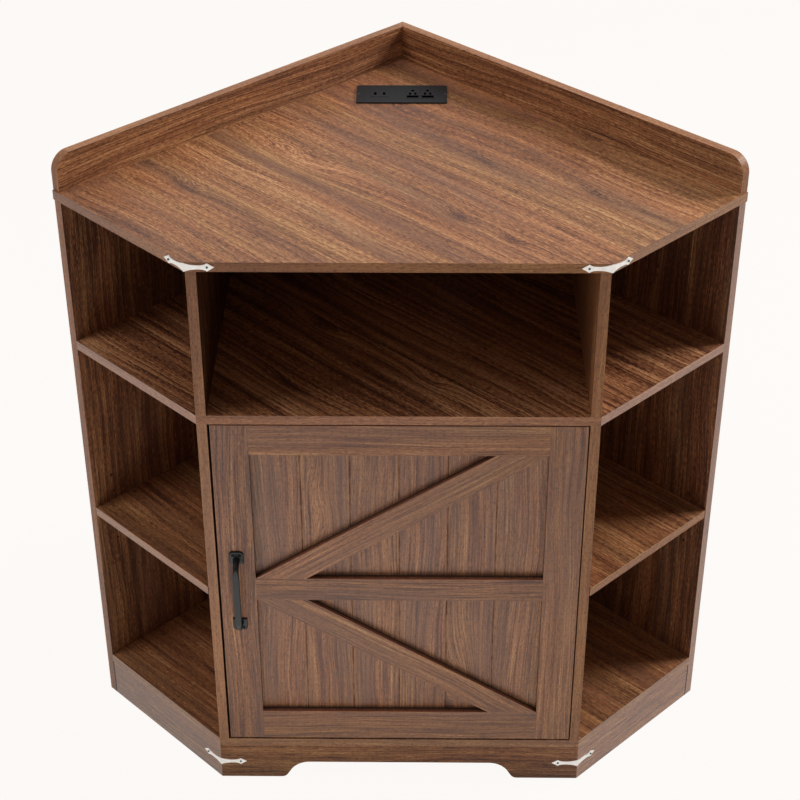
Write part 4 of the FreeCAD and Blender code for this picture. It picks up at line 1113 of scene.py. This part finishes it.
# An insert fills its window in the face plate, and the walls inside its openings are near black, as
# painted shade.
def makeInsert(name, openings):
    made = bmesh.new()
    shape = insertShape
    low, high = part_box(name)
    middleX, middleY = (low.x + high.x) / 2, (low.y + high.y) / 2
    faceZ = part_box("power_bezel")[1].z + shape["proud"]
    size = (high.x - low.x + shape["fill"], high.y - low.y + shape["fill"])
    outline = roundedBox(middleX, middleY, *size, shape["round"])
    rim = [made.verts.new((*spot, faceZ)) for spot in outline]
    foot = [made.verts.new((*spot, low.z)) for spot in outline]
    skin(made, [foot, rim], closeLast=False)
    outlines = [rim]
    for x, y, width, length, radius in openings:
        opening = roundedBox(middleX + x, middleY + y, width, length, radius)
        upper = [made.verts.new((*spot, faceZ)) for spot in opening]
        lower = [made.verts.new((*spot, faceZ - shape["deep"])) for spot in opening]
        for face in (*joinRings(made, lower, upper), made.faces.new(lower)):
            face.material_index = 1
        outlines.append(upper)
    fillBetween(made, outlines)
    piece = keep(name + "_faced", finishMesh(name, made), "carcass", "blackPlastic", name)
    piece.data.materials.append(finishes["openingShade"])


for name, openings in inserts.items():
    makeInsert(name, openings)
print("inserts made")

bracketShape = {
    "thickness": 0.0012, "corner": 0.00675, "waist": 0.0031, "tip": 0.00635, "point": 0.00015,
    "waistReach": 0.019, "holeReach": 0.032, "reach": 0.042, "cornerPower": 2.2, "tipPower": 3,
    "crown": 0.18, "smoothAngle": 25,
    # distances from the bend at which the strap's outline is set
    "stations": (0.002, 0.0045, 0.007, 0.010, 0.013, 0.016, 0.019, 0.022, 0.025, 0.028, 0.030, 0.032,
                 0.0345, 0.037, 0.0395, 0.042),
}


def bracketHalfHeight(distance):
    shape = bracketShape
    if distance <= shape["waistReach"]:
        share = 1 - distance / shape["waistReach"]
        return shape["waist"] + (shape["corner"] - shape["waist"]) * share ** shape["cornerPower"]
    if distance <= shape["holeReach"]:
        share = (distance - shape["waistReach"]) / (shape["holeReach"] - shape["waistReach"])
        return shape["waist"] + (shape["tip"] - shape["waist"]) * share ** shape["tipPower"]
    return shape["tip"] * (shape["reach"] - distance) / (shape["reach"] - shape["holeReach"])


# A strap bent round a 135 degree corner, waisted, with a pointed diamond at each end.
def makeBracket(name, cornerPlace, side):
    made = bmesh.new()
    shape = bracketShape
    frontRun, frontOut = Vector((-side, 0, 0)), Vector((0, -1, 0))
    sideRun, sideOut = Vector((side * slant, slant, 0)), Vector((side * slant, -slant, 0))
    bisector = (frontOut + sideOut).normalized()
    flat = 1.0 - shape["crown"]
    rows = []
    stations = shape["stations"]
    for distance in (*(-station for station in reversed(stations)), 0.0, *stations):
        run, outward = (frontRun, frontOut) if distance > 0 else (sideRun, sideOut)
        thick = shape["thickness"]
        if distance == 0:
            thick /= bisector.dot(outward)
            outward = bisector
        base = cornerPlace + run * abs(distance)
        tall = max(bracketHalfHeight(abs(distance)), shape["point"])
        crown = thick * flat
        profile = [(0, -1), (crown, -1), (thick, -flat), (thick, 0),
                   (thick, flat), (crown, 1), (0, 1), (0, 0)]
        rows.append([made.verts.new(base + outward * out + Vector((0, 0, tall * high)))
                     for out, high in profile])
    skin(made, rows)
    mesh = finishMesh(name, made, shape["smoothAngle"])
    keep(name + "_strap", mesh, "carcass", "nickel", name)


for levelName in ("top", "bottom"):
    for sideName, side in (("left", -1), ("right", 1)):
        name = f"bracket_{levelName}_{sideName}"
        low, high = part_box(name)
        # the corner lies on the mitre line, behind the strap's own thickness
        tipX = max(abs(low.x), abs(high.x))
        cornerX = tipX - (bracketShape["reach"] + bracketShape["thickness"]) * slant
        cornerY = low.y + bracketShape["thickness"]
        makeBracket(name, Vector((side * cornerX, cornerY, (low.z + high.z) / 2)), side)
print("brackets made")

nailShape = {
    "sides": 20, "halfLength": 0.006, "frontWidth": 0.006,
    # radius and height of each ring, from the middle of the domed head to the point
    "rings": ((0.0004, 0.0001), (0.0011, 0.0), (0.0016, -0.0003), (0.0017, -0.0008),
              (0.0009, -0.0009), (0.0009, -0.0110), (0.0001, -0.0119)),
}


# Nails with domed heads, through the diamonds.
def makeNails():
    made = bmesh.new()
    shape = nailShape
    for low, high in solidBoxes("bracket_nails"):
        middle = (low + high) / 2
        if high.x - low.x < shape["frontWidth"]:
            direction = Vector((0, 1, 0))
            start = Vector((middle.x, low.y, middle.z))
        else:
            direction = Vector((-math.copysign(slant, middle.x), slant, 0))
            start = middle - direction * shape["halfLength"]
        matrix = turnedTo(start, direction)
        rings = [ring(made, matrix, radius, height, shape["sides"]) for radius, height in shape["rings"]]
        skin(made, rings)
    mesh = finishMesh("nails", made)
    keep("bracket_nails_domed", mesh, "carcass", "nailSteel", "bracket_nails")


makeNails()

camShape = {"sides": 32, "ease": 0.0004, "flange": 0.0016, "drumTop": 0.0020, "drumShare": 0.93}


# Cams: a drum under a flange, with a cross slot in its face.
def makeCams():
    made = bmesh.new()
    shape = camShape
    for low, high in solidBoxes("cam_locks"):
        place = Vector(((low.x + high.x) / 2, (low.y + high.y) / 2, low.z))
        matrix = turnedTo(place, (0, 0, 1))
        radius, height = (high.x - low.x) / 2, high.z - low.z
        drum = radius * shape["drumShare"]
        stations = [(radius - shape["ease"], 0.0), (radius, -shape["ease"]), (radius, -shape["flange"]),
                    (drum, -shape["drumTop"]), (drum, -height)]
        rings = [ring(made, matrix, wide, down, shape["sides"]) for wide, down in stations]
        skin(made, rings, closeFirst=False)
        addCross(made, matrix, rings[0], radius)
    keep("cam_locks_slotted", finishMesh("cams", made), "carcass", "steel", "cam_locks")


makeCams()
print("nails and cams made")

# Floor, world and lamps

setting = {
    "color": (1.0, 0.973, 0.948), "floorShade": 0.70, "floorGlow": 0.96, "worldShare": 0.17,
    "floorReach": 14.0, "floorLevel": -0.0003,
}
lamps = {
    "overhead": {"place": (0.0, -0.10, 2.90), "aim": (0.0, 0.0, 0.75), "size": 1.2, "watts": 12},
    "rightSide": {"place": (3.70, 0.95, 3.20), "aim": (0.25, -0.10, 0.50), "size": 1.5, "watts": 160},
    "leftSide": {"place": (-2.45, -0.80, 3.10), "aim": (-0.25, -0.10, 0.60), "size": 1.4, "watts": 32},
    "floorBounce": {
        "place": (-0.30, -1.15, 0.004), "aim": (-0.30, -1.15, 1.0), "size": 1.1, "watts": 7.0,
        "inGloss": False},
}


def makeFloor():
    mesh = bpy.data.meshes.new("floor")
    reach, height = setting["floorReach"], setting["floorLevel"]
    corners = [(x * reach, y * reach, height) for x, y in ((-1, -1), (1, -1), (1, 1), (-1, 1))]
    mesh.from_pydata(corners, [], [(0, 1, 2, 3)])
    finish = Finish("floor")
    finish.tree.nodes.remove(finish.shader)
    shade = setting["floorShade"]
    diffuse = finish.node("BsdfDiffuse", None, {"Color": (shade, shade, shade, 1)})
    glow = finish.node("Emission", None, {"Color": (*setting["color"], 1)})
    blend = finish.node("MixShader", None, {0: finish.seen() * setting["floorGlow"], 1: diffuse, 2: glow})
    feed(finish.tree.nodes["Material Output"].inputs["Surface"], blend)
    mesh.materials.append(finish.material)
    addObject("floor", mesh)


def makeWorld():
    world = bpy.data.worlds.new("studio")
    bpy.context.scene.world = world
    world.use_nodes = True
    back = world.node_tree.nodes["Background"]
    share = setting["worldShare"]
    feed(back.inputs["Color"], (*setting["color"], 1))
    feed(back.inputs["Strength"], Graph(world.node_tree).seen() * (1 - share) + share)


def makeLamp(name, lamp):
    data = bpy.data.lights.new(name, "AREA")
    data.shape = "SQUARE"
    data.size = lamp["size"]
    data.energy = lamp["watts"]
    light = addObject(name, data)
    light.visible_camera = False
    light.visible_glossy = lamp.get("inGloss", True)
    aim = Vector(lamp["aim"]) - Vector(lamp["place"])
    turn = aim.to_track_quat("-Z", "Y").to_matrix().to_4x4()
    light.matrix_world = Matrix.Translation(lamp["place"]) @ turn


makeFloor()
makeWorld()
for name, lamp in lamps.items():
    makeLamp(name, lamp)
bpy.context.scene.view_settings.view_transform = "Standard"
print("floor, world and lamps set")
